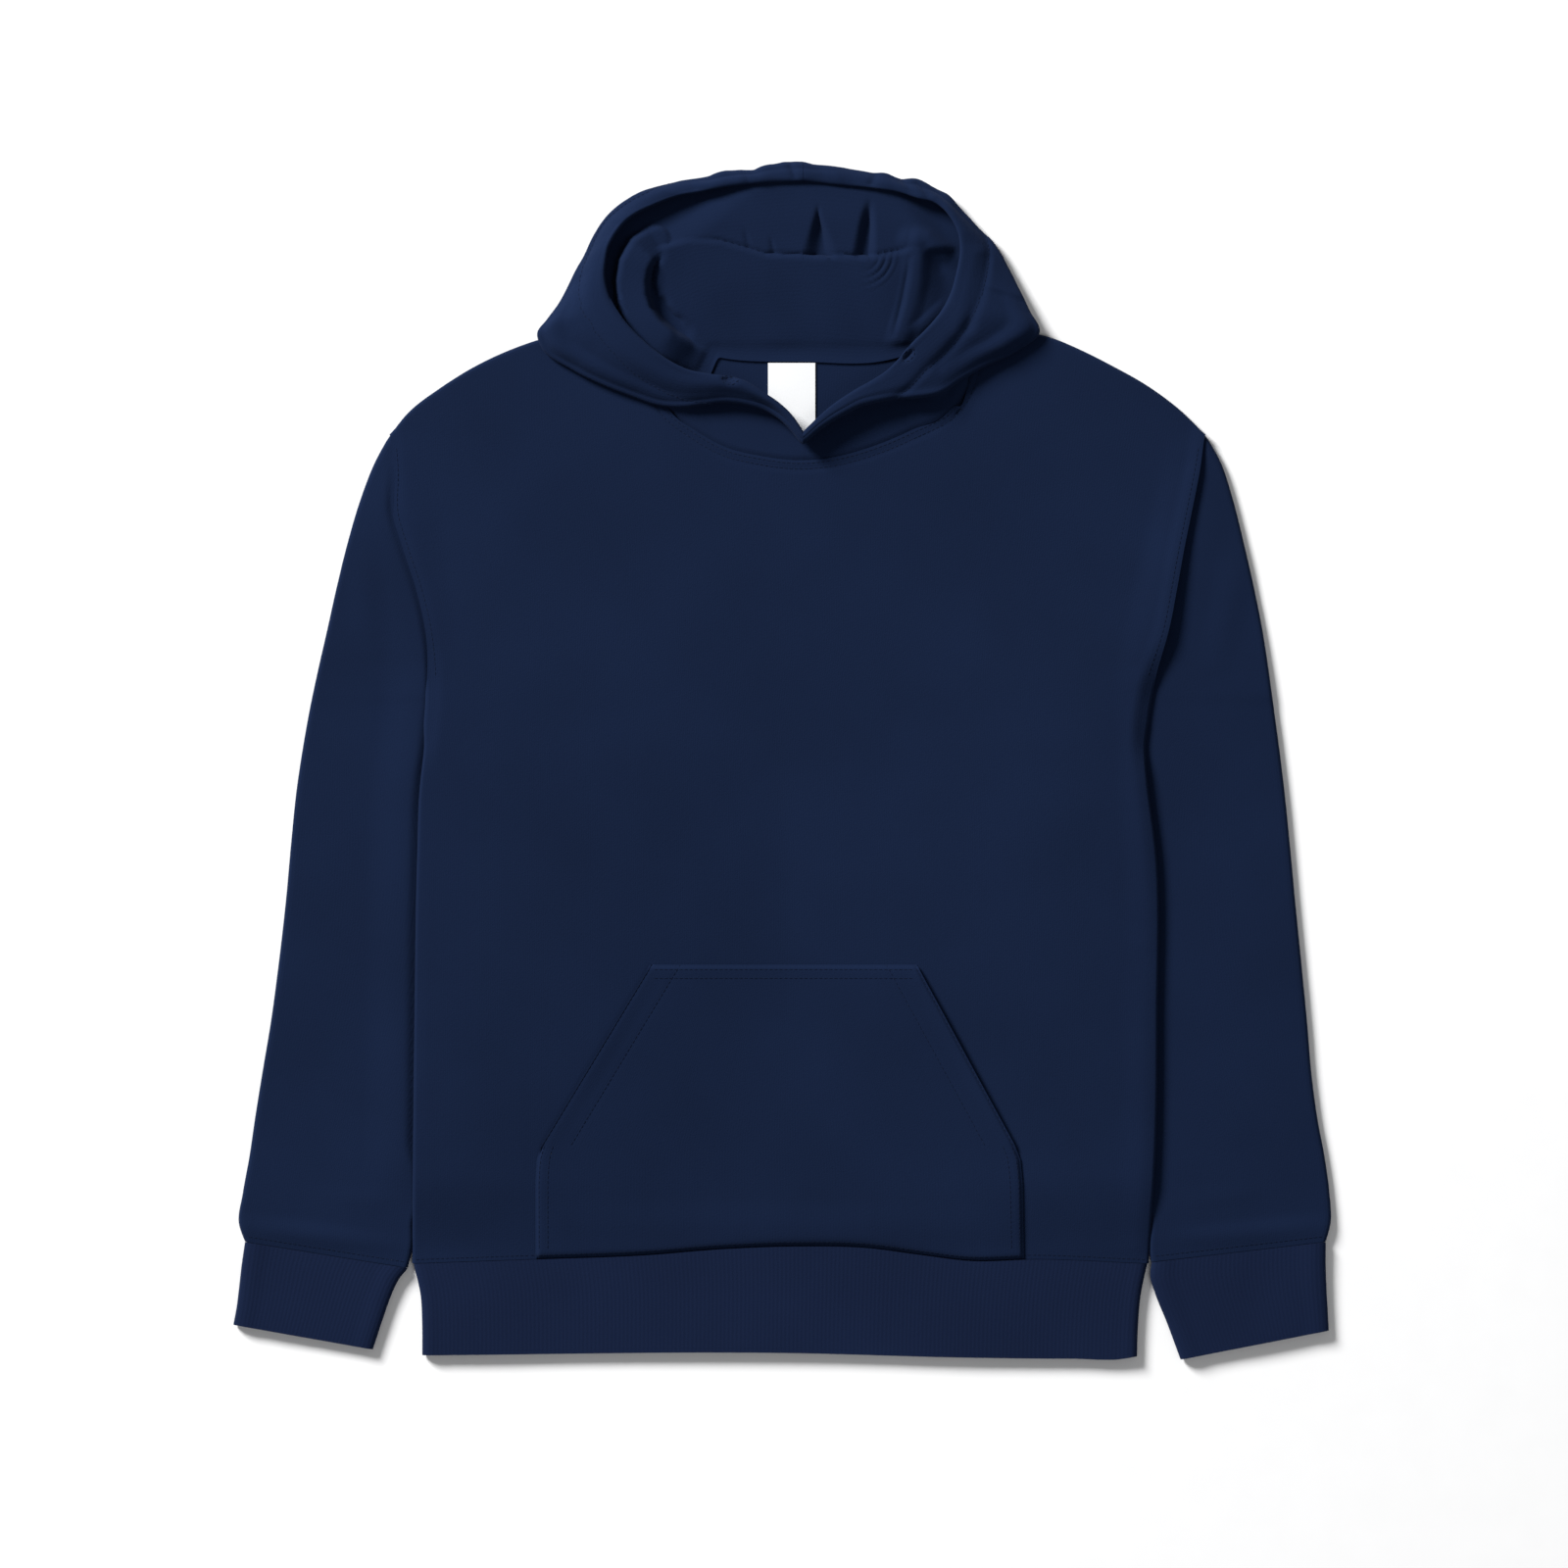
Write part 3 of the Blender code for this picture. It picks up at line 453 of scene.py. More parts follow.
def tangents(grid, axis, around=False):
    """Directions along one way of a grid, from unevenly spaced points."""
    grid = np.moveaxis(grid, axis, 0)
    ahead = np.roll(grid, -1, 0) - grid
    behind = grid - np.roll(grid, 1, 0)
    ahead_length, behind_length = lengths_of(ahead), lengths_of(behind)
    mixed = ahead / ahead_length * behind_length + behind / behind_length * ahead_length
    if not around:
        mixed[0] = end_slope(grid[0], grid[1], grid[2])
        mixed[-1] = -end_slope(grid[-1], grid[-2], grid[-3])
    return np.moveaxis(unit(mixed), 0, axis)


def end_facing(row):
    """The level direction square to the line from the first point of a row to its farthest one."""
    reach = row - row[0]
    chord = reach[np.argmax(np.linalg.norm(reach, axis=1))]
    return unit(np.array([chord[1], -chord[0], 0.0]))


def sleeve_inner(height, side):
    """Across place of a sleeve's inner fold at a height."""
    return at_height(BODY_EDGES, side, height) + SIGN[side] * at_height(SLEEVE_TUCK, 1, height)


def lifted(x, y, top, end, sides):
    """How far a body panel is raised over the sleeves that lie under its sides."""
    left = fall(x - sleeve_inner(y, 1), *sides)
    right = fall(sleeve_inner(y, 2) - x, *sides)
    return LIFT * band(y, *top, *end) * np.maximum(left, right)


# The rounded fold at the edge of a body panel: its steps, how far in each lies and how low
FOLD_ANGLES = np.radians(np.linspace(90, 0, 7))
FOLD_IN = FLEECE / 2 + FOLD_RADIUS * (1 - np.sin(FOLD_ANGLES))
FOLD_PARTING = 0.25
FOLD_DROP = (FOLD_RADIUS - FOLD_PARTING) * (1 - np.cos(FOLD_ANGLES))
# Rough size of a body panel, by which distances become shares of it
PANEL_WIDTH = 520
PANEL_HEIGHT = 590
# Rounds in which the points of a panel settle between their neighbours
EASING_ROUNDS = 60
# Shares across a panel between which its neck lies, and the points of the neck, closer at its ends
NECK_FROM, NECK_TO = 0.31, 0.715
NECK_STEPS = 72
EVEN_STEPS = np.linspace(0, 1, NECK_STEPS + 1)
NECK_SHARES = 0.4 * EVEN_STEPS + 0.3 * (1 - np.cos(np.pi * EVEN_STEPS))
# Share up a panel's sides at which the armhole begins
ARMHOLE_FROM = 0.69


def evenly(start, stop, spacing):
    """Shares from start up to but not including stop, about this far apart."""
    return np.linspace(start, stop, max(2, int(round((stop - start) / spacing)) + 1))[:-1]


def panel_columns(spacing):
    """Shares across a body panel, close together at the side folds."""
    folds, step = FOLD_IN / PANEL_WIDTH, spacing / PANEL_WIDTH
    left = evenly(folds[-1], NECK_FROM, step)[1:]
    neck = NECK_FROM + (NECK_TO - NECK_FROM) * NECK_SHARES
    right = evenly(folds[-1], 1 - NECK_TO, step)[1:]
    return np.concatenate([folds, left, neck, 1 - right[::-1], 1 - folds[::-1]])


def armhole_rows(spacing):
    """Shares up a panel's side along the armhole, about this far apart."""
    return evenly(ARMHOLE_FROM, 1 - FOLD_IN[-1] / PANEL_HEIGHT, spacing / PANEL_HEIGHT)[1:]


def hem_seam(across):
    """Places on the hem seam by shares of its width."""
    x = HEM_SEAM[0][0] + np.asarray(across) * (HEM_SEAM[-1][0] - HEM_SEAM[0][0])
    return np.stack([x, line_at(HEM_SEAM, x)], axis=1)


def neck_points(neck):
    """The corners of a neck edge, which the body and the hood share."""
    x = neck[0][0] + (neck[-1][0] - neck[0][0]) * NECK_SHARES
    return np.stack([x, line_at(neck, x)], axis=1)


def panel(neck, is_front, spacing):
    """The grid of a body panel: rows from the hem seam to the shoulders and neck."""
    across = panel_columns(spacing)
    below = evenly(SEAM_GAP / 2 / PANEL_HEIGHT, ARMHOLE_FROM, spacing / PANEL_HEIGHT)
    shoulder_rows = 1 - FOLD_IN[::-1] / PANEL_HEIGHT
    up = np.concatenate([below, [ARMHOLE_FROM], armhole_rows(spacing), shoulder_rows])
    left_side, right_side = (along(edge(BODY_EDGES, side), up) for side in (1, 2))
    ends = [along(edge(BODY_EDGES, side), [0, 1]) for side in (1, 2)]
    bottom = hem_seam(across)
    # The top edge: a shoulder, the neck and the other shoulder
    top = np.empty((len(across), 2))
    first = int(np.argmin(abs(across - NECK_FROM)))
    last = first + NECK_STEPS
    top[: first + 1] = along(edge(SHOULDERS, 1), across[: first + 1] / NECK_FROM)
    top[last:] = along(edge(SHOULDERS, 2), (1 - across[last:]) / (1 - NECK_TO))
    top[first : last + 1] = neck_points(neck)
    in_neck = np.zeros(len(across), bool)
    in_neck[first : last + 1] = True
    # The points between the four edges, which then settle between their neighbours
    u, v = across[None, :, None], up[:, None, None]
    plan = (1 - v) * bottom[None] + v * top[None]
    plan = plan + (1 - u) * left_side[:, None] + u * right_side[:, None]
    plan = plan - (1 - v) * ((1 - u) * ends[0][0] + u * ends[1][0])
    plan = plan - v * ((1 - u) * ends[0][1] + u * ends[1][1])
    side_fold = fall(left_side[:, 1], *SIDE_FOLD_END)
    folds = len(FOLD_DROP)
    for _ in range(EASING_ROUNDS):
        around = plan[:-2, 1:-1] + plan[2:, 1:-1] + plan[1:-1, :-2] + plan[1:-1, 2:]
        loose = (slice(2, -folds - 1), slice(folds + 1, -folds - 1))
        plan[loose] = (plan[loose] + around[1 : -folds, folds:-folds] / 4) / 2
    # The rounded folds at the sides and along the shoulders
    turn = side_fold * np.pi / 2
    shares = np.linspace(1, 0, folds)
    turned = turn[:, None] * shares
    reach = FOLD_RADIUS * (np.sin(turn)[:, None] - np.sin(turned))
    reach = reach + FOLD_RADIUS * (1 - np.sin(turn))[:, None] * (1 - shares)
    side_drop = (FOLD_RADIUS - FOLD_PARTING) * (1 - np.cos(turned))
    for columns in (np.arange(folds), -1 - np.arange(folds)):
        start = plan[:, columns[0]]
        inward = unit(plan[:, columns[-1]] - start)
        plan[:, columns] = start[:, None] + inward[:, None] * reach[..., None]
    x, y = plan[..., 0], plan[..., 1]
    drop = np.zeros_like(x)
    drop[:, :folds] = side_drop
    drop[:, -folds:] = side_drop[:, ::-1]
    shoulder = np.where(in_neck, 0.0, 1.0)
    top_drop = shoulder[None, :] * FOLD_DROP[::-1, None]
    drop[-folds:] = np.maximum(drop[-folds:], top_drop)
    height = FRONT_Z - drop if is_front else BACK_Z + drop
    return np.dstack([x, y, height + lifted(x, y, *(FRONT_LIFT if is_front else BACK_LIFT))])


# Steps round each folded edge of a tube, and the turn of the sleeve's fold at the underarm
END_STEPS = 3
UNDERARM_TURN = 42
TIP_REACH = 60
# How far the end of that tip is tucked under the body's edge
TIP_TUCK = 2.0
# Points across one side of the cuffs and of the hem band
CUFF_ACROSS = 8
BAND_ACROSS = 60


def ring(outer, inner, radius, middle_z, cloth, across, bow=None):
    """One section of a flattened tube, from the outer edge over the top to the inner edge and back.

    Its level stretches have this many points across."""
    chord = inner - outer
    length = np.linalg.norm(chord)
    start = cloth / 2 + radius
    turns = np.radians([180, 150, 120][:END_STEPS])
    ends = [(start + radius * np.cos(turn), radius * np.sin(turn)) for turn in turns]
    level = np.linspace(start, length - start, across)
    flat = [(place, radius) for place in level]
    far = [(length - place, rise) for place, rise in reversed(ends)]
    over = ends + flat + far
    under = [(place, -rise) for place, rise in reversed(over[1:-1])]
    places = np.array(over + under)
    direction = chord / length
    plan = outer + places[:, :1] * direction
    if bow is not None:
        plan = plan + bow(np.clip(places[:, 0] / length, 0, 1))
    return np.column_stack([plan, middle_z + places[:, 1]])


# Height at which the sleeves' sections no longer follow the bow of the armhole
BOW_END = 90
# Sections of the sleeves from the armhole to the cuff: height at the outer edge, at the inner fold
SLEEVE_SECTIONS = (
    (224, 47), (206, 47), (180, 47), (150, 47), (120, 47), (90, 47), (64, 47), (36, 34), (10, 10),
    (-20, -20), (-55, -55), (-95, -100), (-140, -145), (-180, -190), (-215, -228), (-246, -256),
    (-272, -282), (-298, -310), (-318, -332),
)


def cuff_line(side, row=0):
    """The outer and the inner end of a line across a cuff, from the table of the cuffs."""
    return np.array(CUFFS[row][4 * side - 4 : 4 * side], float).reshape(2, 2)


def off_seam(line, side):
    """The step from the middle of a cuff's seam to the edge of the cloth above it."""
    chord = unit(line[1] - line[0])
    return SEAM_GAP / 2 * np.array([-chord[1], chord[0]]) * SIGN[side]


def sleeve(side):
    """The grid of a sleeve, from the armhole seam to the cuff seam."""
    sign = SIGN[side]
    body_edge = edge(BODY_EDGES, side)
    runs = walked(body_edge)
    underarm = runs[column(BODY_EDGES, 0) == UNDERARM_Y][0] / runs[-1]
    rows = armhole_rows(SLEEVE_SPACING)
    corners = np.concatenate([[underarm], rows, 1 - FOLD_IN[::-1] / PANEL_HEIGHT])
    seam_line = along(body_edge, corners)
    across = len(rows)
    top, bottom = seam_line[-1], seam_line[0]
    shoulder_y, tip_y = SLEEVE_SECTIONS[0]

    def section(outer, inner, bow=None):
        return ring(outer, inner, FOLD_RADIUS, FOLD_Z, FLEECE, across, bow)

    def armhole_bow(places):
        at = 1 - places * (1 - underarm)
        edge_x, edge_y = (np.interp(at, corners, seam_line[:, axis]) for axis in (0, 1))
        on_chord = top + (bottom - top) * places[:, None]
        shift = SEAM_INSET * (1 - places**6) - fall(places, 0, 0.04)
        return np.stack([edge_x + sign * shift, edge_y], axis=1) - on_chord

    turned = np.radians(UNDERARM_TURN)
    tip_inner = np.array([bottom[0] + sign * TIP_TUCK, tip_y])
    tip_outer = tip_inner + TIP_REACH * np.array([-sign * np.cos(turned), np.sin(turned)])
    over = 2 * END_STEPS + across
    tip = slice(over - END_STEPS - 1, over + END_STEPS)
    underarm_tip = section(tip_outer, tip_inner)[tip]
    rings = []
    for outer_y, inner_y in SLEEVE_SECTIONS:
        outer = np.array([float(at_height(SLEEVE_OUTER, side, outer_y)), outer_y])
        inner = np.array([float(sleeve_inner(inner_y, side)), inner_y])
        if outer_y == shoulder_y:
            outer, inner = top, bottom
        keep = ease(outer_y, BOW_END, shoulder_y)
        rings.append(section(outer, inner, lambda places: armhole_bow(places) * keep))
        if inner_y == tip_y:
            rings[-1][tip] = underarm_tip
    end = cuff_line(side)
    rings.append(section(*(end + off_seam(end, side))))
    return np.array(rings)


def band_ring(outer, inner, across):
    """One section of a tube of doubled rib."""
    return ring(outer, inner, BAND_FOLD_RADIUS, BAND_FOLD_Z, RIB_CLOTH, across)


def cuff(side, rows=5):
    """The grid of a cuff, from its seam to its end."""
    table = [cuff_line(side, row) for row in range(len(CUFFS))]
    knots, places = np.linspace(0, 1, len(CUFFS)), np.linspace(0, 1, rows)
    lines = smooth(knots, table, places).reshape(rows, 2, 2)
    lines[0] -= off_seam(lines[0], side)
    return np.array([band_ring(*line, CUFF_ACROSS) for line in lines])


def hem_band(rows=4):
    """The grid of the hem band, from its seam to the bottom of the garment."""
    downs = column(BAND_EDGES, 0)
    rings = []
    for share in np.linspace(0, 1, rows):
        left, right = smooth(downs, [row[1:] for row in BAND_EDGES], [share * downs[-1]])[0]
        ends = np.array([[left, 0], [right, 0]])
        level = band_ring(*ends, BAND_ACROSS)
        seam_y = np.interp(level[:, 0], *hem_seam(panel_columns(BAND_SPACING)).T)
        end_y = line_at(HEM_BOTTOM, level[:, 0])
        level[:, 1] = (seam_y - SEAM_GAP / 2) * (1 - share) + end_y * share
        rings.append(level)
    return np.array(rings)


def pocket_edge(side, height):
    """The left (1) or right (2) edge of the pocket at a height, with its corners kept."""
    return np.interp(height, column(POCKET, 0), column(POCKET, side))


def pocket():
    """The grid of the pocket, lying on the front panel."""
    rows = int(round((POCKET[-1][0] - POCKET[0][0]) / POCKET_SPACING))
    heights = np.linspace(POCKET[0][0], POCKET[-1][0], rows)
    low, high = heights[0] + EDGE_STRIPS, heights[-1] - EDGE_STRIPS[::-1]
    heights = np.concatenate([low, heights[2:-2], high])
    left, right = (pocket_edge(side, heights) for side in (1, 2))
    columns = int(round((right[0] - left[0]) / POCKET_SPACING))
    first, last = left[:, None] + EDGE_STRIPS, right[:, None] - EDGE_STRIPS[::-1]
    share = np.linspace(0, 1, columns)[None, 1:-1]
    between = first[:, -1:] * (1 - share) + last[:, :1] * share
    x = np.concatenate([first, between, last], axis=1)
    y = np.repeat(heights[:, None], x.shape[1], axis=1)
    foot = line_at(HEM_SEAM, x[0]) + 1.0
    y = y + (foot - heights[0])[None] * fall(heights, heights[0], -280)[:, None]
    z = FRONT_Z + FLEECE + LYING_GAP + lifted(x, y, *FRONT_LIFT)
    return np.dstack([x, y, z])


def on_neck(neck, side, place):
    """A point on a neck edge: the hood's middle at 0, the neck point of a side at 1."""
    points = neck_points(neck)
    runs = walked(points)
    middle = np.interp(HOOD_MIDDLE, points[:, 0], runs)
    at = middle + (place * (runs[-1] - middle) if side == 2 else -place * middle)
    return np.array([np.interp(at, runs, points[:, axis]) for axis in (0, 1)])


def over_shoulder(x, y, side):
    """1 where the hood's lower layer lies over the body, 0 where it lies on the floor."""
    shoulder = edge(SHOULDERS, side)
    order = np.argsort(shoulder[:, 0])
    line = smooth(shoulder[order, 0], shoulder[order, 1], x)[:, 0]
    neck_x = shoulder[-1, 0]
    beyond = x - neck_x if side == 1 else neck_x - x
    away = np.hypot(np.maximum(y - line, 0), np.maximum(beyond, 0))
    return fall(away, *SHOULDER_FALL[side - 1])


def rounded(corners, near_end, others):
    """Points along a line of corners, softened: evenly spaced, then some near its end."""
    corners = np.array(corners, float)
    runs = walked(corners)
    near = runs[-1] - np.array(near_end)
    at = np.concatenate([np.linspace(0, near[0], others + 1)[:-1], near])
    points = np.stack([np.interp(at, runs, corners[:, axis]) for axis in range(3)], axis=1)
    points[1:-1] = points[:-2] / 4 + points[1:-1] / 2 + points[2:] / 4
    return points, at / runs[-1]


def hood_profile(station, side):
    """Points across one station of the hood, from its rim over the outer fold to the neck seam."""
    rim_x, rim_y, rim_z, fold_x, fold_y, fold_z, place, step = station
    place = np.clip(place, 0, 2)
    neck, share = (FRONT_NECK, place) if place <= 1 else (BACK_NECK, 2 - place)
    seam = on_neck(neck, side, share)
    behind = ease(place, 0.95, 1.15)
    to_middle = unit(np.array(NECK_MIDDLE) - seam)
    inward = unit(to_middle * (1 - behind) + np.array([0.0, 1.0]) * behind)
    standing = band(place, *STANDING)
    seam = seam + inward * (LYING_GAP + (SIDE_SHIFT - LYING_GAP) * standing)
    seam_z = FRONT_Z + (BACK_Z + 0.1 - FRONT_Z) * ease(place, *SEAM_SINKS)
    seam_z = seam_z + (OVER_BODY_Z - seam_z) * band(place, *ON_SHOULDER)
    rim, fold = np.array([rim_x, rim_y]), np.array([fold_x, fold_y])
    outward = unit(fold - rim)
    fold = fold - outward * FLEECE / 2
    over = fold - outward * HOOD_FOLD
    points = []
    for part in (0, 0.33, 0.67):
        flat = rim * (1 - part) + over * part
        rise = rim_z * (1 - part) + (fold_z + HOOD_FOLD) * part
        points.append((*flat, rise + BULGE * np.sin(np.pi * part)))
    for angle in np.radians([90, 45, 0, -45, -90]):
        reach = HOOD_FOLD * (1 - np.cos(angle)) * (1 if angle >= 0 else 1 - step)
        points.append((*(fold - outward * reach), fold_z + HOOD_FOLD * np.sin(angle)))
    turn_z = seam_z + FOOT_RISE * step + (OVER_BODY_Z - seam_z) * standing * (1 - step)
    leaves = seam + inward * LEAVES_NECK * ease(place, 0.98, 1.15)
    turn = (*(fold * step + leaves * (1 - step)), turn_z)
    under, parts = rounded([points[-1], turn, (*seam, seam_z)], NEAR_SEAM, 5)
    behind_neck = ease(place, *BEHIND)
    for point, part in zip(under, parts):
        lying = behind_neck * np.sin(np.pi * part) ** 0.5
        rise = point[2] * (1 - lying) + ON_FLOOR_Z * lying
        body = over_shoulder(point[:1], point[1], side)[0] * fall(part, 0.9, 1)
        point[2] = max(rise, OVER_BODY_Z * body * (1 - step))
    return points + list(under[1:])


def hood_stations(side):
    """The rows of a half's table, spread over as many stations as its grid has."""
    table = LEFT_HOOD if side == 1 else RIGHT_HOOD
    last = len(table) - 1
    return smooth(np.arange(last + 1), table, np.linspace(0, last, HOOD_STATIONS[side]))


def hood(side):
    """The grid of one half of the hood: a row for each station, from its rim to its neck seam."""
    grid = np.array([hood_profile(station, side) for station in hood_stations(side)])
    keep = np.minimum if side == 1 else np.maximum
    grid[1:-1, :, 0] = keep(grid[1:-1, :, 0], HOOD_MIDDLE - SIGN[side] * FLEECE)
    grid[[0, -1], :, 0] = HOOD_MIDDLE
    return grid


def label():
    """The grid of the neck label, lying on the inside of the back."""
    x, y = np.meshgrid(np.linspace(*LABEL_X, 5), np.linspace(*LABEL_Y, 6))
    z = np.full_like(x, FLEECE + LYING_GAP + LABEL_CLOTH / 2)
    return np.dstack([x, y, z])


def finer(grid, spacing, around=False):
    """The same cloth with its points about as far apart as the spacing. Extra columns go along."""
    for axis in (0, 1):
        lines = np.moveaxis(grid, axis, 0)
        closed = around and axis == 1
        if closed:
            lines = np.concatenate([lines[-2:], lines, lines[:3]])
        steps = np.diff(lines, axis=0)
        runs = lengths_of(steps[..., :3])
        slopes = steps / runs
        before, after = runs[:-1], runs[1:]
        inner = (slopes[:-1] * after + slopes[1:] * before) / (before + after)
        bends = np.concatenate([slopes[:1], inner, slopes[-1:]])
        widest = (runs.mean(axis=(1, 2)) + runs.max(axis=(1, 2))) / 2
        parts = np.maximum(1, np.round(widest / spacing).astype(int))
        spans = range(2, len(steps) - 2) if closed else range(len(steps))
        low = np.array([i for i in spans for _ in range(parts[i])])
        part = np.concatenate([np.arange(parts[i]) / parts[i] for i in spans])[:, None, None]
        dense = hermite(part, runs[low], lines[low], lines[low + 1], bends[low], bends[low + 1])
        if not closed:
            dense = np.concatenate([dense, lines[-1:]])
        grid = np.moveaxis(dense, 0, axis)
    return grid


def runs_along(grid, axis):
    """Mean distance walked along one way of a grid, at each of its lines."""
    steps = np.linalg.norm(np.diff(grid[..., :3], axis=axis), axis=-1).mean(axis=1 - axis)
    return np.concatenate([[0], np.cumsum(steps)])


def facing_out(grid, around=False, facing=None):
    """The directions square to a cloth at each of its points."""
    normals = unit(np.cross(tangents(grid, 1, around), tangents(grid, 0)))
    for row in (0, -1) if around or facing is not None else ():
        square_to = end_facing(grid[row]) if facing is None else np.array(facing)
        normals[row] = unit(normals[row] - (normals[row] @ square_to)[:, None] * square_to)
    _, same = np.unique(np.round(grid.reshape(-1, 3), 4), axis=0, return_inverse=True)
    shared = np.zeros((same.max() + 1, 3))
    np.add.at(shared, same.ravel(), normals.reshape(-1, 3))
    return unit(shared)[same.ravel()].reshape(grid.shape)


def wall_faces(rows, columns, around):
    """The faces of a closed wall whose outer points are numbered first, then its inner ones."""
    inner, top = rows * columns, (rows - 1) * columns
    start, low = np.arange(columns if around else columns - 1), np.arange(rows - 1) * columns
    end = (start + 1) % columns
    a, b = (np.add.outer(low, ends).ravel() for ends in (start, end))
    c, d = b + columns, a + columns
    walls = [
        (a, b, c, d),
        (d + inner, c + inner, b + inner, a + inner),
        (start + inner, end + inner, end, start),
        (start + top, end + top, end + top + inner, start + top + inner),
    ]
    if not around:
        far = low + columns - 1
        walls.append((low, low + columns, low + columns + inner, low + inner))
        walls.append((far + inner, far + columns + inner, far + columns, far))
    return np.concatenate([np.stack(corners, 1) for corners in walls])


def sew(name, grid, cloth, material, around=False, facing=None):
    """A closed wall of cloth round a fine grid, with a UV map in metres along the cloth."""
    grid = grid[..., :3]
    normals = facing_out(grid, around, facing)
    half = np.broadcast_to(np.asarray(cloth, float), grid.shape[:2])[..., None] / 2
    sides = np.concatenate([grid + normals * half, grid - normals * half])
    points = (sides.reshape(-1, 3) + TO_MIDDLE) * MM
    rows, columns = grid.shape[:2]
    faces = wall_faces(rows, columns, around)
    quad = points[faces]
    twice = np.cross(quad[:, 2] - quad[:, 0], quad[:, 3] - quad[:, 1])
    if np.einsum("ij,ij->i", quad.mean(axis=1), twice).sum() < 0:
        faces = faces[:, ::-1]
    u, v = runs_along(grid, 1) * MM, runs_along(grid, 0) * MM
    up, across = np.divmod(faces % (rows * columns), columns)
    if around:
        u = np.append(u, u[-1] + np.linalg.norm(grid[:, 0] - grid[:, -1], axis=-1).mean() * MM)
        at_end = across.max(axis=1, keepdims=True) == columns - 1
        across = np.where((across == 0) & at_end, columns, across)
    mesh = bpy.data.meshes.new(name)
    mesh.from_pydata(points.tolist(), [], faces.tolist())
    layer = mesh.uv_layers.new(name="cloth")
    layer.data.foreach_set("uv", np.dstack([u[across], v[up]]).ravel().astype(np.float32))
    mesh.shade_smooth()
    mesh.set_sharp_from_angle(angle=np.radians(CUT_ANGLE))
    return add_piece(name, mesh, material)


def add_piece(name, mesh, material=None):
    if material is not None:
        mesh.materials.append(material)
    piece = bpy.data.objects.new(name, mesh)
    bpy.context.scene.collection.objects.link(piece)
    return piece


def wear(piece, node):
    """Hangs a finished piece of cloth under the root and hides the solid it replaces."""
    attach(piece, "root")
    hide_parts(node)


def beside(x, y, points):
    """Distance from a line of points, and the share of the way along it."""
    points = np.asarray(points, float)
    runs = walked(points)
    nearest, share = np.full(np.shape(x), 1e9), np.zeros(np.shape(x))
    for start, end, run in zip(points, points[1:], runs):
        way = end - start
        part = np.clip(((x - start[0]) * way[0] + (y - start[1]) * way[1]) / (way @ way), 0, 1)
        away = np.hypot(x - start[0] - part * way[0], y - start[1] - part * way[1])
        closer = away < nearest
        nearest = np.where(closer, away, nearest)
        share = np.where(closer, (run + part * np.linalg.norm(way)) / runs[-1], share)
    return nearest, share


# How many waves of different ways and lengths are mixed
WAVES = 9


def soft_waves(x, y, seed, length, height):
    """Slow uneven swells, the same each time for a seed."""
    rng = np.random.default_rng(seed)
    total = np.zeros(np.shape(x))
    for _ in range(WAVES):
        turn = rng.uniform(0, 2 * np.pi)
        wave = length * rng.uniform(0.7, 1.6)
        phase = rng.uniform(0, 2 * np.pi)
        total += np.sin((x * np.cos(turn) + y * np.sin(turn)) * 2 * np.pi / wave + phase)
    return total / WAVES * height * 2


def inside_folds(x, y):
    """How the lower layer inside the hood rises over its plain form."""
    near = np.interp(x, column(NEAR_EDGE, 0), column(NEAR_EDGE, 1))
    under_edge = ease(near - y, -1.3, 1.3)
    share_up = np.clip((y - NEAR_FROM) / (near - NEAR_FROM), 0, 1)
    sheet = NEAR_HEIGHT * share_up**0.7 * under_edge * band(x, *NEAR_SPAN)
    crown = CROWN_HEIGHT * (1 - under_edge) * (1 - CROWN_SINK_SHARE * ease(y, *CROWN_SINK))
    for at_x, at_y, way_x, way_y, length in CROWN_ENDS:
        beyond = (x - at_x) * way_x + (y - at_y) * way_y
        crown = crown * fall(beyond, 3 - length, 3)
    for tip_x, tip_y, foot_x, foot_y, half, depth, taper in PLEATS:
        up = np.clip((y - foot_y) / (tip_y - foot_y), -0.2, 1)
        middle = foot_x + (tip_x - foot_x) * up
        width = np.maximum(half * np.clip(1 - up, 0.01, 1) ** taper, 2.0)
        across = (x - middle) / width
        dip = band(across, -1.15, 0.35, 0.45, 1.5) * fall(up, 0.5, 1)
        crown = crown - depth * dip * (1 - under_edge)
    rise = sheet + crown
    at, half = EDGE_GROOVE_AT
    rise = rise - EDGE_GROOVE * fall(np.abs(y - near - at), 0, half) * band(x, *EDGE_GROOVE_SPAN)
    for points, depth, half in HOLLOWS:
        away, share = beside(x, y, points)
        ends = band(share, -0.15, 0.25, 0.75, 1.15)
        rise = rise - depth * ends * fall(away, 0, half)
    rise = np.maximum(rise, -0.5)
    for points, height, half in RIDGES:
        away, share = beside(x, y, points)
        ends = band(share, -0.15, 0.2, 0.8, 1.15)
        if height > ROLL:
            lower = 1 - ROLL_LOWER * ease(share, 0.7, 0.95)
            rise = np.maximum(rise, height * lower * ends * fall(away, half * 0.6, half))
        else:
            rise = rise + 0.75 * height * ends * fall(away, half * 0.1, half)
    away = np.hypot(x - RIPPLE_CENTRE[0], y - RIPPLE_CENTRE[1])
    ripple = np.sin(away / RIPPLE_LENGTH * 2 * np.pi) * band(away, *RIPPLE_SPAN)
    ripple = ripple * ease(x - RIPPLE_CENTRE[0], -3, 8) * under_edge
    left = fall(x, -62, -48)
    start = ease(y, 281 - 19 * left, 290 - 20 * left)
    return (rise + RIPPLE_HEIGHT * ripple + soft_waves(x, y, 11, 46, 0.5)) * start


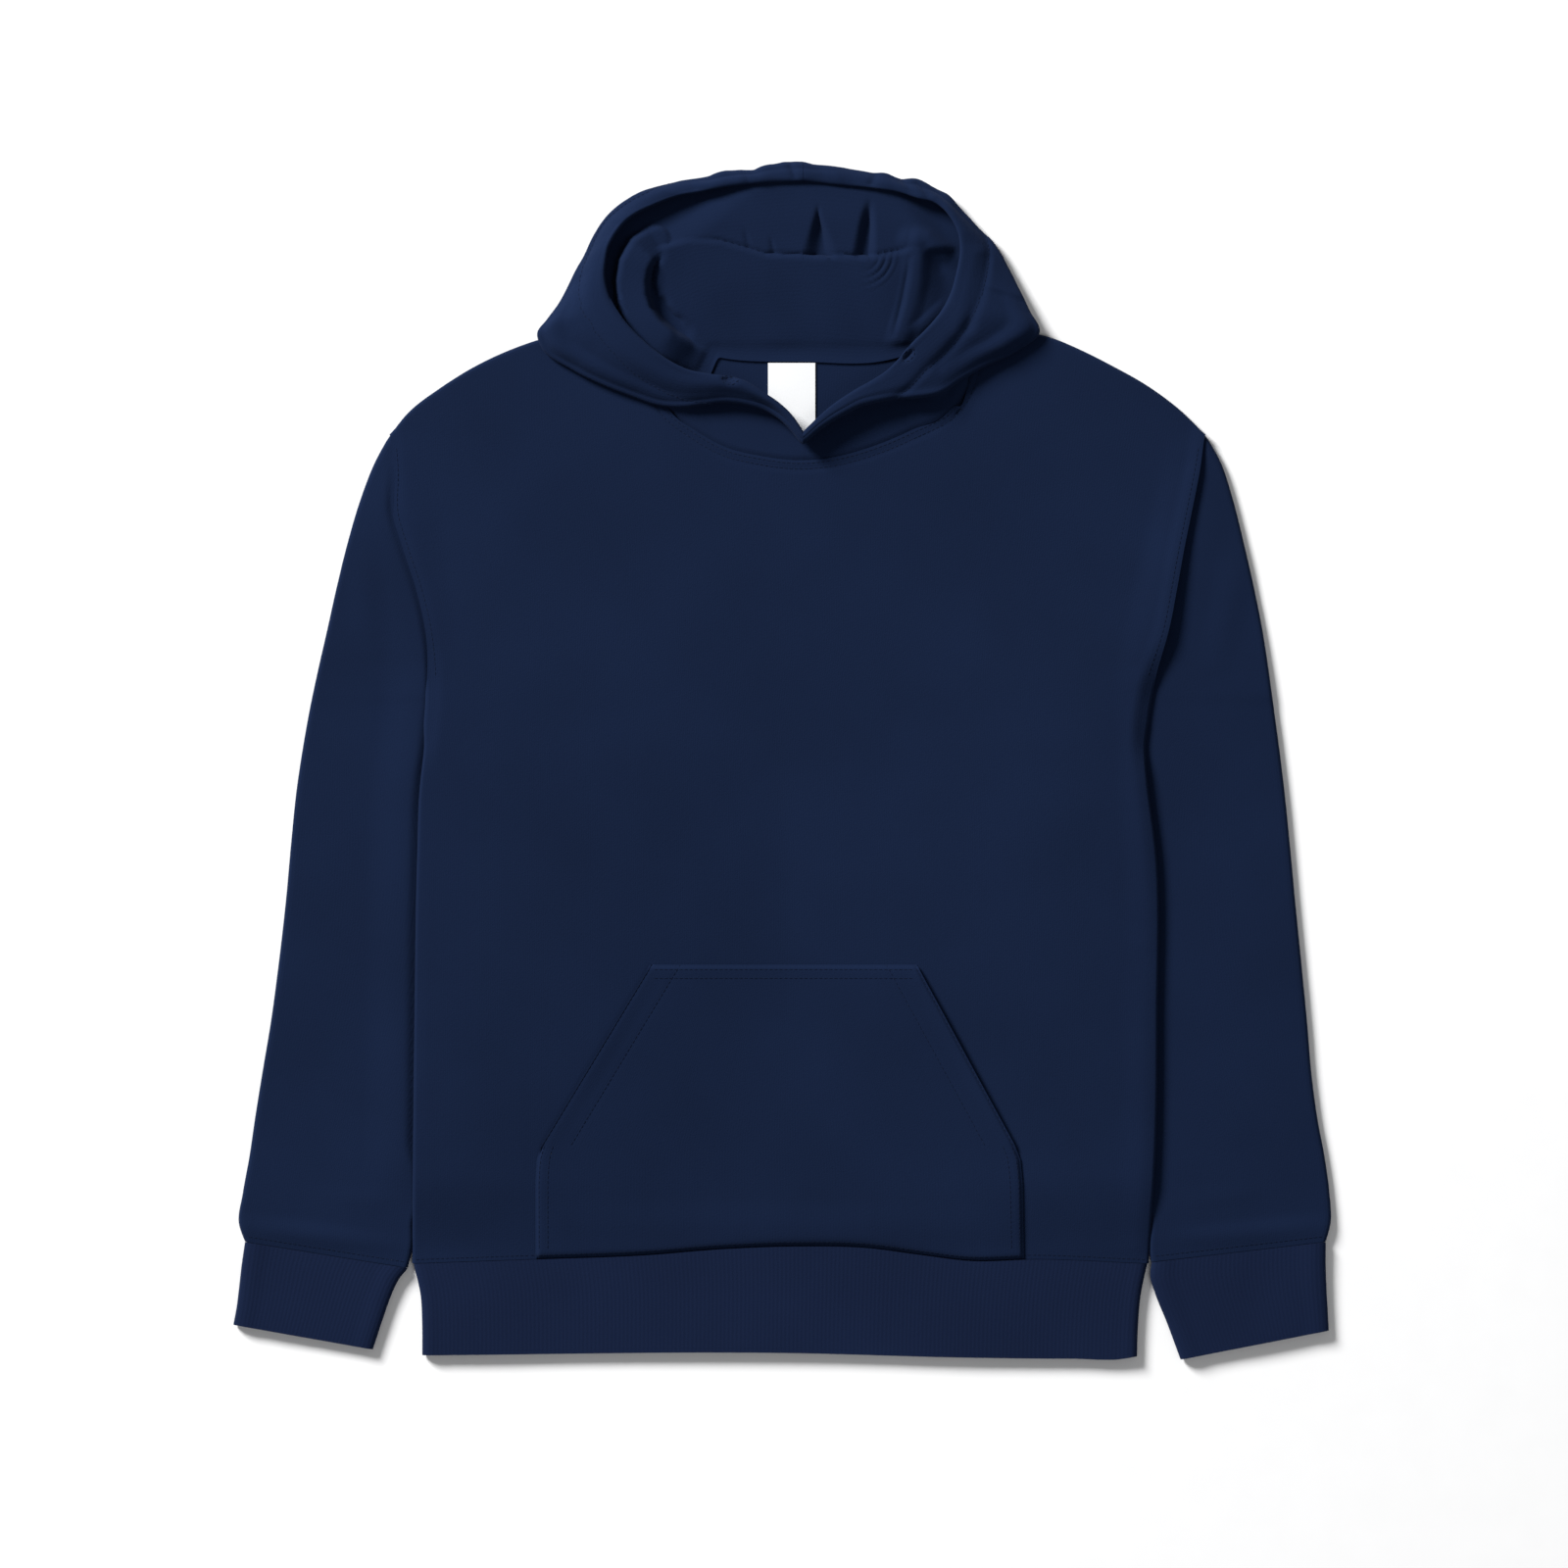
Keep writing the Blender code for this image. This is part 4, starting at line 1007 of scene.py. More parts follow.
# Soft swells of the body: from, to, height, half width
BODY_SWELLS = (
    ((-262, 205), (-246, 70), 1.3, 16),
    ((284, 205), (252, 60), 2.6, 15),
    ((247, 50), (255, -120), 1.6, 12),
    ((252, -130), (250, -330), 1.0, 12),
    ((-150, 215), (-215, 120), 0.7, 26),
    ((150, 190), (235, 110), 0.8, 24),
    ((-150, -40), (-215, 20), 0.6, 22),
    ((-120, 140), (40, 60), 0.5, 40),
    ((120, 40), (215, -60), 0.6, 30),
    ((-230, -180), (-190, -320), 0.6, 22),
)
POCKET_SWELLS = (
    ((98, -150), (160, -255), 1.5, 8),
    ((-96, -150), (-158, -255), 0.8, 8),
    ((-150, -318), (150, -322), 0.9, 12),
    ((-60, -200), (40, -230), 0.6, 40),
)
# Soft folds of the sleeves, in the same way
LEFT_SLEEVE_SWELLS = (
    ((-365, -322), (-262, -338), 2.6, 8),
    ((-330, -40), (-285, -90), 0.9, 14),
    ((-345, -150), (-290, -190), 0.8, 16),
    ((-355, -215), (-300, -262), 1.1, 14),
    ((-350, -270), (-285, -296), 0.9, 12),
    ((-290, 150), (-282, 80), 0.8, 10),
)
RIGHT_SLEEVE_SWELLS = (
    ((372, -322), (262, -334), 2.2, 8),
    ((330, 30), (280, -20), 1.0, 14),
    ((348, -110), (290, -150), 0.9, 14),
    ((358, -205), (296, -240), 0.9, 15),
    ((362, -270), (290, -296), 1.0, 12),
    ((318, 150), (300, 70), 0.8, 10),
)
# Lines sewn beside the seams: how deep the cloth is drawn in and how far that reaches
SEAM_DEPTH = 0.55
SEAM_REACH = 2.6
NECK_SECOND_ROW = 7.0
POCKET_SECOND_ROW = 18.0
# Heights over which the body's relief begins above the hem seam
HEM_START = (-346, -334)
# How far the sewn edges of the pocket are pressed down
PRESSED = 0.75
# The line sewn along the pocket's edges: how far in, its half width, and its depth along the left
# opening, the right opening and the rest
EDGE_LINE_AT = (1.5, 0.9)
EDGE_LINE = (1.6, 0.5, 0.4)
# Heights of the ends of the pocket's slanted openings
OPENING_HEIGHTS = (-263, -141)

# The front's armhole edges lie over the sleeves: how far out, how high left and right, how far in
EDGE_LAP = 1.6
EDGE_RISE = (0.2, 3.2)
EDGE_REACH = 11.0
# Between which heights that begins, and between which it grows weaker at the shoulder
EDGE_START = (UNDERARM_Y - 46, UNDERARM_Y - 24)
EDGE_FADE = (196, 222)
# How much further the front laps over each sleeve just below its underarm, how far its edge comes
# down there, left and right, and between which heights
UNDERARM_LAP = 1.9
UNDERARM_DROP = (1.5, 4.2)
UNDERARM_SPAN = (-15, 30, 48, 90)
# How high the sleeves swell beside the body, below the underarm and along the armhole: the left
# one, the right one, and the heights and the distances from the body at which that holds
SLEEVE_SWELL = ((2.4, 1.4), (0, 0))
SWELL_SPAN = (-310, -270, 170, 212)
SWELL_REACH = (0.5, 5, 6, 36)
# Heights over which the relief of the sleeves begins above the cuffs, left and right
SLEEVE_START = ((-345, -318), (-341, -316))
# How far the sleeves are pressed against the body beside the hem, how much further they are tucked
# under it where its edge rises off the floor, and between which heights
SLEEVE_PRESS = (0.9, (-350, -338, -300, -270))
FOOT_TUCK = (3.6, (-322, -304, -284, -262))


def swells(x, y, table, strength=1.0):
    """How high a table of soft folds raises the cloth."""
    rise = np.zeros(np.shape(x))
    for start, end, height, half in table:
        away, share = beside(x, y, (start, end))
        ends = 0.35 + 0.65 * np.sin(np.pi * np.clip(share, 0.02, 0.98))
        rise = rise + height * ends * fall(away, 0, half * 1.6)
    return rise * strength


def drawn_in(x, y, line, depth=SEAM_DEPTH, reach=SEAM_REACH):
    """How far a row of stitches along a line draws the cloth down."""
    return depth * fall(beside(x, y, line)[0], 0, reach)


def neck_row(offset):
    """A line round the front neck, this far outside its seam."""
    line = along(FRONT_NECK, np.linspace(0, 1, 60))
    turn = unit(np.gradient(line, axis=0))
    return line + offset * np.stack([turn[:, 1], -turn[:, 0]], axis=1)


def pocket_sides(inset):
    """The slanted openings of the pocket, moved in by the inset."""
    heights = np.linspace(*OPENING_HEIGHTS, 25)
    edges = [pocket_edge(side, heights) + sign * inset * 1.15 for side, sign in SIGN.items()]
    return [np.stack([across, heights], axis=1) for across in edges]


def front_relief(x, y, strength):
    """How the front panel and the pocket on it swell, and are drawn in along the neck."""
    rise = swells(x, y, BODY_SWELLS, strength) + soft_waves(x, y, 3, 210, 0.45) * strength
    rise = np.maximum(rise + 0.2, -0.35)
    rise = rise - drawn_in(x, y, neck_row(NECK_SECOND_ROW))
    return (rise - drawn_in(x, y, neck_row(1.0), 0.3)) * ease(y, *HEM_START)


def make_body(cloth, strength, material):
    """The front panel, whose edges lap over the sleeves, and the plain back panel."""
    front = panel(FRONT_NECK, True, BODY_SPACING)
    x, y = front[..., 0], front[..., 1]
    inwards = {side: sign * (x - at_height(BODY_EDGES, side, y)) for side, sign in SIGN.items()}
    inset = np.minimum(*(ease(inward, 0, 9) for inward in inwards.values()))
    front[..., 2] += front_relief(x, y, strength) * (0.25 + 0.75 * inset)
    along_armhole = ease(y, *EDGE_START) * (1 - 0.5 * ease(y, *EDGE_FADE))
    for side, inward in inwards.items():
        over = along_armhole * fall(inward, 1.0, EDGE_REACH)
        low_lap = band(y, *UNDERARM_SPAN) * fall(inward, 0, 9)
        outward = EDGE_LAP * over * fall(inward, 0, 4) + UNDERARM_LAP * low_lap
        front[..., 0] -= SIGN[side] * outward
        front[..., 2] -= UNDERARM_DROP[side - 1] * low_lap
        front[..., 2] += EDGE_RISE[side - 1] * over * (0.4 + 0.6 * ease(y, 40, 100))
    front = sew("body_front_cloth", front, cloth, material)
    wear(front, "body_front")
    back = panel(BACK_NECK, False, UNDERSIDE_SPACING)
    back = sew("body_back_cloth", back, cloth, material)
    wear(back, "body_back")


def make_sleeves(cloth, strength, material):
    """Both sleeves, with soft folds on top, pressed close beside the body."""
    for side, table in enumerate((LEFT_SLEEVE_SWELLS, RIGHT_SLEEVE_SWELLS), start=1):
        grid = finer(sleeve(side), SLEEVE_SPACING, around=True)
        x, y, z = np.moveaxis(grid, -1, 0)
        over = ease(z, FOLD_Z - 0.6, FRONT_Z)
        free = ease(y, *SLEEVE_START[side - 1])
        rise = swells(x, y, table, strength)
        rise = rise + soft_waves(x, y, 20 + side, 120, 0.4) * strength + 0.2
        below, beside_armhole = SLEEVE_SWELL[side - 1]
        height = (below + (beside_armhole - below) * ease(y, 35, 70)) * band(y, *SWELL_SPAN)
        away = SIGN[side] * (at_height(BODY_EDGES, side, y) - x)
        covered = fall(LIFT - lifted(x, y, *BACK_LIFT), 0.2, 2.5)
        rise = np.maximum(rise, -0.3) * over * np.maximum(free, 0.1) * (1 - covered)
        near_body = fall(np.abs(x - sleeve_inner(y, side)), 4, 40)
        press = sum(most * band(y, *heights) for most, heights in (SLEEVE_PRESS, FOOT_TUCK))
        grid[..., 2] = z + rise + height * band(away, *SWELL_REACH) * over
        grid[..., 0] += near_body * press * SIGN[side]
        node = f"sleeve_{NAMES[side]}"
        piece = sew(f"{node}_cloth", grid, cloth, material, around=True)
        wear(piece, node)


def make_band(node, grid, base, waves, material):
    """One piece of doubled rib, raised a little on top, with soft waves."""
    grid = finer(grid, BAND_SPACING, around=True)
    x, y, z = np.moveaxis(grid, -1, 0)
    over = ease(z, BAND_FOLD_Z, BAND_FOLD_Z + BAND_FOLD_RADIUS)
    grid[..., 2] = z + over * (base + soft_waves(x, y, *waves))
    piece = sew(f"{node}_cloth", grid, RIB_CLOTH, material, around=True)
    wear(piece, node)


def make_bands(strength, material):
    """Both cuffs and the hem band."""
    for side, name in NAMES.items():
        waves = (30 + side, 60, 0.3 * strength)
        make_band(f"cuff_{name}", cuff(side), 0.15, waves, material)
    waves = (33, 130, 0.35 * strength)
    make_band("hem_band", hem_band(), 0.2, waves, material)


def make_pocket(cloth, strength, material):
    """The pocket, with its edges sewn down and its two slanted openings."""
    grid = pocket()
    x, y = grid[..., 0], grid[..., 1]
    edge_near = np.minimum(x - pocket_edge(1, y), pocket_edge(2, y) - x)
    ends = np.minimum(POCKET[-1][0] - y, y - grid[0, :, 1][None])
    low = fall(y, -272, -262)

    def near_edges(reach):
        """1 at the sewn edges, 0 this far inside them."""
        return np.maximum(fall(ends, 0, reach), fall(edge_near, 0, reach) * low)

    rise = front_relief(x, y, strength) + np.maximum(swells(x, y, POCKET_SWELLS, strength), 0) + 0.2
    rise = rise * (1 - 0.85 * near_edges(6))
    for line in pocket_sides(POCKET_SECOND_ROW):
        rise = rise - drawn_in(x, y, line, 0.12)
    deep = np.where(x < 0, *EDGE_LINE[:2]) * (1 - low) + EDGE_LINE[2] * low
    at, half = EDGE_LINE_AT
    side_line, end_line = (fall(np.abs(near - at), 0, half) for near in (edge_near, ends))
    line = np.maximum(deep * side_line, EDGE_LINE[2] * (y > -200) * end_line)
    grid[..., 2] += np.maximum(rise, -0.25) - PRESSED * near_edges(3.6) - line
    piece = sew("pocket_cloth", grid, cloth * (1 - 0.72 * near_edges(2)), material)
    wear(piece, "pocket")


def side_press(place, place_across, side):
    """How flat the outer fold of the hood is pressed, as a share of its height."""
    press = SIDE_PRESS[side - 1] * ease(place, 0.45, 0.7)
    press = press + CORNER_PRESS[side - 1] * ease(place, 0.72, 0.9)
    press = press + FRONT_PRESS[side - 1] * band(place, 0.02, 0.16, 0.45, 0.7)
    across = band(place_across, 1, 3.2, HOOD_TURN, HOOD_TURN + 2)
    return press * fall(place, 0.9, 1.0) * across


def hole_axes(turn):
    """The directions along and across a buttonhole that is turned by these degrees."""
    turned = np.radians(turn)
    return np.array([[np.cos(turned), np.sin(turned)], [-np.sin(turned), np.cos(turned)]])


def fine_hood(side, strength):
    """One half of the hood with its folds, its points' distances from the rim and its thickness."""
    coarse = hood(side)
    rows, columns = coarse.shape[:2]
    marks = np.zeros((rows, columns, 2))
    marks[..., 0] = np.arange(columns)
    marks[..., 1] = hood_stations(side)[:, 6:7]
    grid = finer(np.concatenate([coarse, marks], axis=2), HOOD_SPACING)
    x, y, z, place_across, place = np.moveaxis(grid, -1, 0)
    walk = np.array([walked(row) for row in grid[..., :3]])
    outer = fall(place_across, HOOD_TURN - 1.5, HOOD_TURN)
    under = ease(place_across, HOOD_TURN - 0.1, HOOD_TURN + 0.6)

    # The lower layer inside the hood
    inside = under * ease(place, 0.95, 1.0)
    seam_end = ease(place_across, columns - 5.0, columns - 1.0)
    lap = inside * seam_end
    at_left = fall(x, -52, -42)
    from_seam = np.clip(1 - (walk[:, -1:] - walk) / LAP_FROM, 0, 1)
    y = y - inside * (LAP * seam_end + LEFT_LAP * at_left * from_seam)
    folded = ON_FLOOR_Z + inside_folds(x, y) * strength
    rise = (np.logaddexp(folded, z) - z) * inside * (1 - 0.7 * seam_end * (1 - at_left))
    back_height = FLEECE + LYING_GAP + FLEECE / 4
    rise = rise + np.maximum(back_height - z - rise, 0) * lap

    # The casing, the creases and the pressed folds
    soft = soft_waves(x, y, 50, 70, 0.7) * strength
    groove = CASING_GROOVE[side - 1] * fall(np.abs(walk - CASING_WIDTH), 0, 5.0)
    for start, end, depth, reach in CREASES:
        groove = groove + drawn_in(x, y, (start, end), depth, reach) * strength
    rise = rise + outer * (soft - groove) * ease(walk, 0, 4)
    hang = FRONT_HANG[side - 1] * fall(place, 0.5, 0.75)
    rise = rise + hang * band(place_across, 1, 4, HOOD_TURN - 1, HOOD_TURN + 1.5)
    rise = rise - side_press(place, place_across, side) * np.maximum(z - PRESS_FROM, 0)
    tuck = band(place_across, HOOD_TURN - 0.5, HOOD_TURN + 1, HOOD_TURN + 2, HOOD_TURN + 5)
    y = y + UNDERCUT * tuck * fall(place, 0.4, 0.6)

    # The puckers and the uneven edge over the crown
    rng = np.random.default_rng(60 + side)
    bump_rows = np.arange(0, len(grid) + 7, 6.3)
    bumps = np.interp(np.arange(len(grid)), bump_rows, rng.uniform(-1, 1, len(bump_rows)))
    ripple = CASING_RIPPLE * strength * bumps[:, None] * ease(place, 1.4, 1.7)
    rise = rise + ripple * outer * fall(np.abs(walk - CASING_WIDTH * 0.5), 4, 12)
    for across, half, height in PUCKERS:
        bump = height * strength * np.exp(-(((x - across) / half) ** 2))
        rise = rise + outer * ease(place, *BEHIND) * bump * 0.5
        y = y + ease(place, 1.5, 1.7) * (1 - under) * bump * ease(place_across, 2, 4)
    trim = np.interp(x, *zip(*TOP_EDGE))
    y = y + ease(place, 1.2, 1.5) * (1 - under) * trim * ease(place_across, 1, 4)
    for middle, turn, _ in BUTTONHOLES:
        across, up = np.tensordot(hole_axes(turn), (x - middle[0], y - middle[1]), 1)
        away = np.hypot(across / BUTTONHOLE[0], up / BUTTONHOLE[1]) * 2
        rise = rise - BUTTONHOLE_DEPTH * outer * fall(away, 0.3, 1.3)

    thick = 1 + CASING_EXTRA / FLEECE * fall(walk, CASING_WIDTH - 9, CASING_WIDTH + 1) * outer * 0.8
    near_rim = np.clip(walk / RIM_ROUND, 0, 1)
    thick = thick * (0.3 + 0.7 * np.sqrt(near_rim * (2 - near_rim)))
    thick = thick * (1 - lap * (0.6 + 0.25 * at_left))
    seam_front = ease(place_across, columns - 2.2, columns - 1.0) * fall(place, 0.75, 0.9)
    way = unit(np.stack([x[:, -1] - x[:, -5], y[:, -1] - y[:, -5]], axis=1))
    x, y = (at + SEAM_UNDER * step[:, None] * seam_front for at, step in zip((x, y), way.T))
    return np.dstack([x, y, z + rise - SEAM_DROP * seam_front]), walk, thick


# The places of the stitches along each half's casing, found as the half is sewn
CASING_LINES = {}


def make_hood(cloth, strength, material):
    """Both halves of the hood, which meet in a seam over the crown."""
    for side, name in NAMES.items():
        grid, walk, thick = fine_hood(side, strength)
        normals = facing_out(grid, False, (1, 0, 0))
        line = []
        for row in range(2, len(grid) - 2):
            at = int(np.argmin(np.abs(walk[row, : grid.shape[1] // 2] - CASING_WIDTH)))
            up = normals[row, at] * np.sign(normals[row, at, 2] or 1)
            line.append((grid[row, at] + up * (cloth / 2 + 0.1) + TO_MIDDLE) * MM)
        CASING_LINES[name] = line[::2]
        piece = sew(f"hood_{name}_cloth", grid, cloth * thick, material, facing=(1, 0, 0))
        wear(piece, f"hood_{name}")


def make_label(material):
    """The bare label, which swells a little towards the neck seam."""
    grid = finer(label(), 2.0)
    x, y = grid[..., 0], grid[..., 1]
    grid[..., 2] += 0.35 * ease(y, 224, 262) * np.cos((x - 7) / 16 * 1.2)
    piece = sew("neck_label_cloth", grid, LABEL_CLOTH, material)
    wear(piece, "neck_label")


def new_material(name):
    material = bpy.data.materials.new(name)
    material.use_nodes = True
    nodes = material.node_tree.nodes
    return material, nodes, material.node_tree.links, nodes["Principled BSDF"]


def set_inputs(node, values):
    for name, value in values.items():
        node.inputs[name].default_value = value


def add_node(nodes, kind, inputs=None, **settings):
    """A new node with these values in its inputs and these settings of its own."""
    node = nodes.new(kind)
    for name, value in settings.items():
        setattr(node, name, value)
    set_inputs(node, inputs or {})
    return node


def join(links, joints):
    """Joins nodes: source, its output, target, its input."""
    for source, out, target, into in joints:
        links.new(source.outputs[out], target.inputs[into])


def shade_by(source, out, nodes, links, shader, low, high, low_at=0.0, high_at=1.0):
    """Colours a shader by an output of a node, from low to high."""
    ramp = nodes.new("ShaderNodeValToRGB")
    for element, place, colour in zip(ramp.color_ramp.elements, (low_at, high_at), (low, high)):
        element.position = place
        element.color = (*colour, 1)
    join(links, ((source, out, ramp, "Fac"), (ramp, "Color", shader, "Base Color")))


def tinted(colour, share):
    """A lighter or darker shade of a colour."""
    return [share * part for part in colour]


def knit_material(name, colour, rib_pitch, rib_depth, grain, sheen):
    """Brushed cloth: fine wales along the UV map, a soft fuzz and slow changes of shade."""
    material, nodes, links, shader = new_material(name)
    place = nodes.new("ShaderNodeTexCoord")
    slow = add_node(nodes, "ShaderNodeTexNoise", {"Scale": 9.0, "Detail": 3.0})
    fuzz = add_node(nodes, "ShaderNodeTexNoise", {"Scale": grain, "Detail": 4.0, "Roughness": 0.65})
    both = add_node(nodes, "ShaderNodeMath", {1: 0.35}, operation="MULTIPLY_ADD")
    low, high = tinted(colour, 0.9), tinted(colour, 1.12)
    shade_by(both, 0, nodes, links, shader, low, high, 0.4, 0.95)
    uv = add_node(nodes, "ShaderNodeUVMap", uv_map="cloth")
    wave = {"Scale": np.pi / 10 / rib_pitch, "Distortion": 0.4, "Detail Scale": 2.0}
    wales = add_node(nodes, "ShaderNodeTexWave", wave, bands_direction="X")
    first = add_node(nodes, "ShaderNodeBump", {"Strength": 0.5, "Distance": rib_depth})
    second = add_node(nodes, "ShaderNodeBump", {"Strength": 0.6, "Distance": 0.0003})
    join(links, (
        (place, "Object", slow, "Vector"),
        (place, "Object", fuzz, "Vector"),
        (fuzz, "Fac", both, 0),
        (slow, "Fac", both, 2),
        (uv, "UV", wales, "Vector"),
        (wales, "Fac", first, "Height"),
        (fuzz, "Fac", second, "Height"),
        (first, "Normal", second, "Normal"),
        (second, "Normal", shader, "Normal"),
    ))
    set_inputs(shader, {
        "Roughness": 0.95, "Specular IOR Level": 0.05, "Sheen Weight": sheen,
        "Sheen Roughness": 0.6, "Sheen Tint": (0.35, 0.5, 1.0, 1)})
    return material


def woven_material(name, colour):
    """Smooth white tape with a fine satin weave."""
    material, nodes, links, shader = new_material(name)
    uv = add_node(nodes, "ShaderNodeUVMap", uv_map="cloth")
    weave = add_node(nodes, "ShaderNodeTexWave", {"Scale": 700.0}, bands_direction="Y")
    bump = add_node(nodes, "ShaderNodeBump", {"Strength": 0.2, "Distance": 0.0001})
    join(links, (
        (uv, "UV", weave, "Vector"),
        (weave, "Fac", bump, "Height"),
        (bump, "Normal", shader, "Normal"),
    ))
    shade_by(weave, "Fac", nodes, links, shader, tinted(colour, 0.96), colour)
    set_inputs(shader, {"Roughness": 0.7})
    return material


# Stitches: how far apart, how long, how thick the thread is, and the sides of its section
STITCH_STEP = 3.4
STITCH_LENGTH = 2.5
THREAD = 0.42
STITCH_SIDES = 6
# How a stitch grows thinner away from its middle, by the square of the share of its length
STITCH_TAPER = -2.6
# Rows of stitches: how far they lie from the neck seam, above the hem seam, inside the pocket's
# sides, inside the armholes and from a cuff's ends and seam, and the heights of those below the
# pocket's top
NECK_ROWS = (3.2, NECK_SECOND_ROW)
HEM_ROW = 3.0
POCKET_SIDE_ROWS = (2.5, 8.5)
ARMHOLE_ROW = 3.5
CUFF_ROW = 4.0
POCKET_TOP_ROWS = (-143.5, -149.5)


def stitch_tree(material):
    """Nodes that lay a short stitch at every step along a line."""
    tree = bpy.data.node_groups.new("row of stitches", "GeometryNodeTree")
    face = tree.interface
    face.new_socket("Line", in_out="INPUT", socket_type="NodeSocketGeometry")
    for name, value in (("Step", STITCH_STEP), ("Length", STITCH_LENGTH), ("Thread", THREAD)):
        socket = face.new_socket(name, in_out="INPUT", socket_type="NodeSocketFloat")
        socket.default_value = value * MM
    face.new_socket("Stitches", in_out="OUTPUT", socket_type="NodeSocketGeometry")
    nodes = tree.nodes

    def math(operation, inputs=None):
        return add_node(nodes, "ShaderNodeMath", inputs, operation=operation)

    start, end = nodes.new("NodeGroupInput"), nodes.new("NodeGroupOutput")
    curve = nodes.new("GeometryNodeMeshToCurve")
    spaced = add_node(nodes, "GeometryNodeResampleCurve", mode="LENGTH")
    tangent = nodes.new("GeometryNodeInputTangent")
    turn = add_node(nodes, "FunctionNodeAlignRotationToVector", axis="Z")
    sides = {"Vertices": STITCH_SIDES, "Side Segments": 3}
    stitch = add_node(nodes, "GeometryNodeMeshCylinder", sides)
    half = math("MULTIPLY", {1: 0.5})
    place = nodes.new("GeometryNodeInputPosition")
    split = nodes.new("ShaderNodeSeparateXYZ")
    slim = math("DIVIDE")
    square = math("POWER", {1: 2.0})
    narrow = math("MULTIPLY_ADD", {1: STITCH_TAPER, 2: 1.0})
    joined = nodes.new("ShaderNodeCombineXYZ")
    by_width = [math("MULTIPLY"), math("MULTIPLY")]
    rounded_off = nodes.new("GeometryNodeSetPosition")
    laid = nodes.new("GeometryNodeInstanceOnPoints")
    real = nodes.new("GeometryNodeRealizeInstances")
    finish = add_node(nodes, "GeometryNodeSetMaterial", {"Material": material})
    join(tree.links, (
        (start, "Line", curve, "Mesh"),
        (curve, "Curve", spaced, "Curve"),
        (start, "Step", spaced, "Length"),
        (tangent, "Tangent", turn, "Vector"),
        (start, "Thread", half, 0),
        (half, 0, stitch, "Radius"),
        (start, "Length", stitch, "Depth"),
        (place, "Position", split, "Vector"),
        (split, "Z", slim, 0),
        (start, "Length", slim, 1),
        (slim, 0, square, 0),
        (square, 0, narrow, 0),
        (split, "X", by_width[0], 0),
        (split, "Y", by_width[1], 0),
        (narrow, 0, by_width[0], 1),
        (narrow, 0, by_width[1], 1),
        (by_width[0], 0, joined, "X"),
        (by_width[1], 0, joined, "Y"),
        (split, "Z", joined, "Z"),
        (stitch, "Mesh", rounded_off, "Geometry"),
        (joined, "Vector", rounded_off, "Position"),
        (spaced, "Curve", laid, "Points"),
        (rounded_off, "Geometry", laid, "Instance"),
        (turn, "Rotation", laid, "Rotation"),
        (laid, "Instances", real, "Geometry"),
        (real, "Geometry", finish, "Geometry"),
        (finish, "Geometry", end, "Stitches"),
    ))
    return tree


def search_tree(name):
    """The faces of a piece, for finding its top."""
    mesh = bpy.data.objects[name].data
    corners = [corner.co for corner in mesh.vertices]
    return BVHTree.FromPolygons(corners, [face.vertices for face in mesh.polygons])


def laid_on(trees, line, sink=0.12):
    """A line of places across and up, laid on the top of some pieces and sunk into it a little."""
    points = []
    for x, y in line:
        above = Vector(((x + TO_MIDDLE[0]) * MM, (y + TO_MIDDLE[1]) * MM, 0.1))
        hits = [tree.ray_cast(above, Vector((0, 0, -1)))[0] for tree in trees]
        heights = [hit.z for hit in hits if hit is not None]
        if heights:
            points.append((above.x, above.y, max(heights) + (THREAD / 2 - sink) * MM))
    return points


def sew_rows(name, rows, material):
    """Sews stitches along rows of points, as one piece."""
    points, edges = [], []
    for row in rows:
        first = len(points)
        points += [tuple(point) for point in row]
        edges += [(first + i, first + i + 1) for i in range(len(row) - 1)]
    mesh = bpy.data.meshes.new(name + " line")
    mesh.from_pydata(points, edges, [])
    line = add_piece(name + " line", mesh)
    layer = line.modifiers.new("stitches", "NODES")
    layer.node_group = stitch_tree(material)
    sizes = bpy.context.scene.hoodie_sizes
    wanted = {"Step": sizes.stitch_step, "Thread": sizes.thread}
    for socket in layer.node_group.interface.items_tree:
        if socket.in_out == "INPUT" and socket.name in wanted:
            layer[socket.identifier] = wanted[socket.name]
    shown = line.evaluated_get(bpy.context.evaluated_depsgraph_get())
    sewn = bpy.data.meshes.new_from_object(shown)
    bpy.data.objects.remove(line)
    sewn.name = name
    sewn.shade_smooth()
    piece = add_piece(name, sewn)
    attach(piece, "root")


def stepped(line, spacing=1.5):
    """The same line of places with points this far apart."""
    line = np.asarray(line, float)
    length = np.linalg.norm(np.diff(line, axis=0), axis=1).sum()
    return along(line, np.linspace(0, 1, max(2, int(length / spacing))))


def body_rows():
    """Rows of stitches beside the seams of the body and the pocket; the row along the pocket's
    openings also paints the shade under their edges.
    """
    hem = np.array(HEM_SEAM, float) * (0.985, 1) + (0, HEM_ROW)
    lines = [neck_row(offset)[2:-2] for offset in NECK_ROWS] + [hem]
    # The rows 1 mm inside the slanted openings are edge stitching whose dark thread also paints the
    # shade in the gap under the openings' edges
    lines += pocket_sides(POCKET_SECOND_ROW) + pocket_sides(1.0)
    lines += [[(-86, up), (0, up), (89, up)] for up in POCKET_TOP_ROWS]
    lines = [stepped(line) for line in lines]
    for side, sign in SIGN.items():
        low, high = np.linspace(-334, -266, 12), np.linspace(60, 214, 60)
        pocket_x, armhole_x = pocket_edge(side, low), at_height(BODY_EDGES, side, high)
        lines += [np.stack([pocket_x + sign * inset, low], 1) for inset in POCKET_SIDE_ROWS]
        lines.append(np.stack([armhole_x + sign * ARMHOLE_ROW, high], 1))
    trees = [search_tree("body_front_cloth"), search_tree("pocket_cloth")]
    return [laid_on(trees, line) for line in lines]


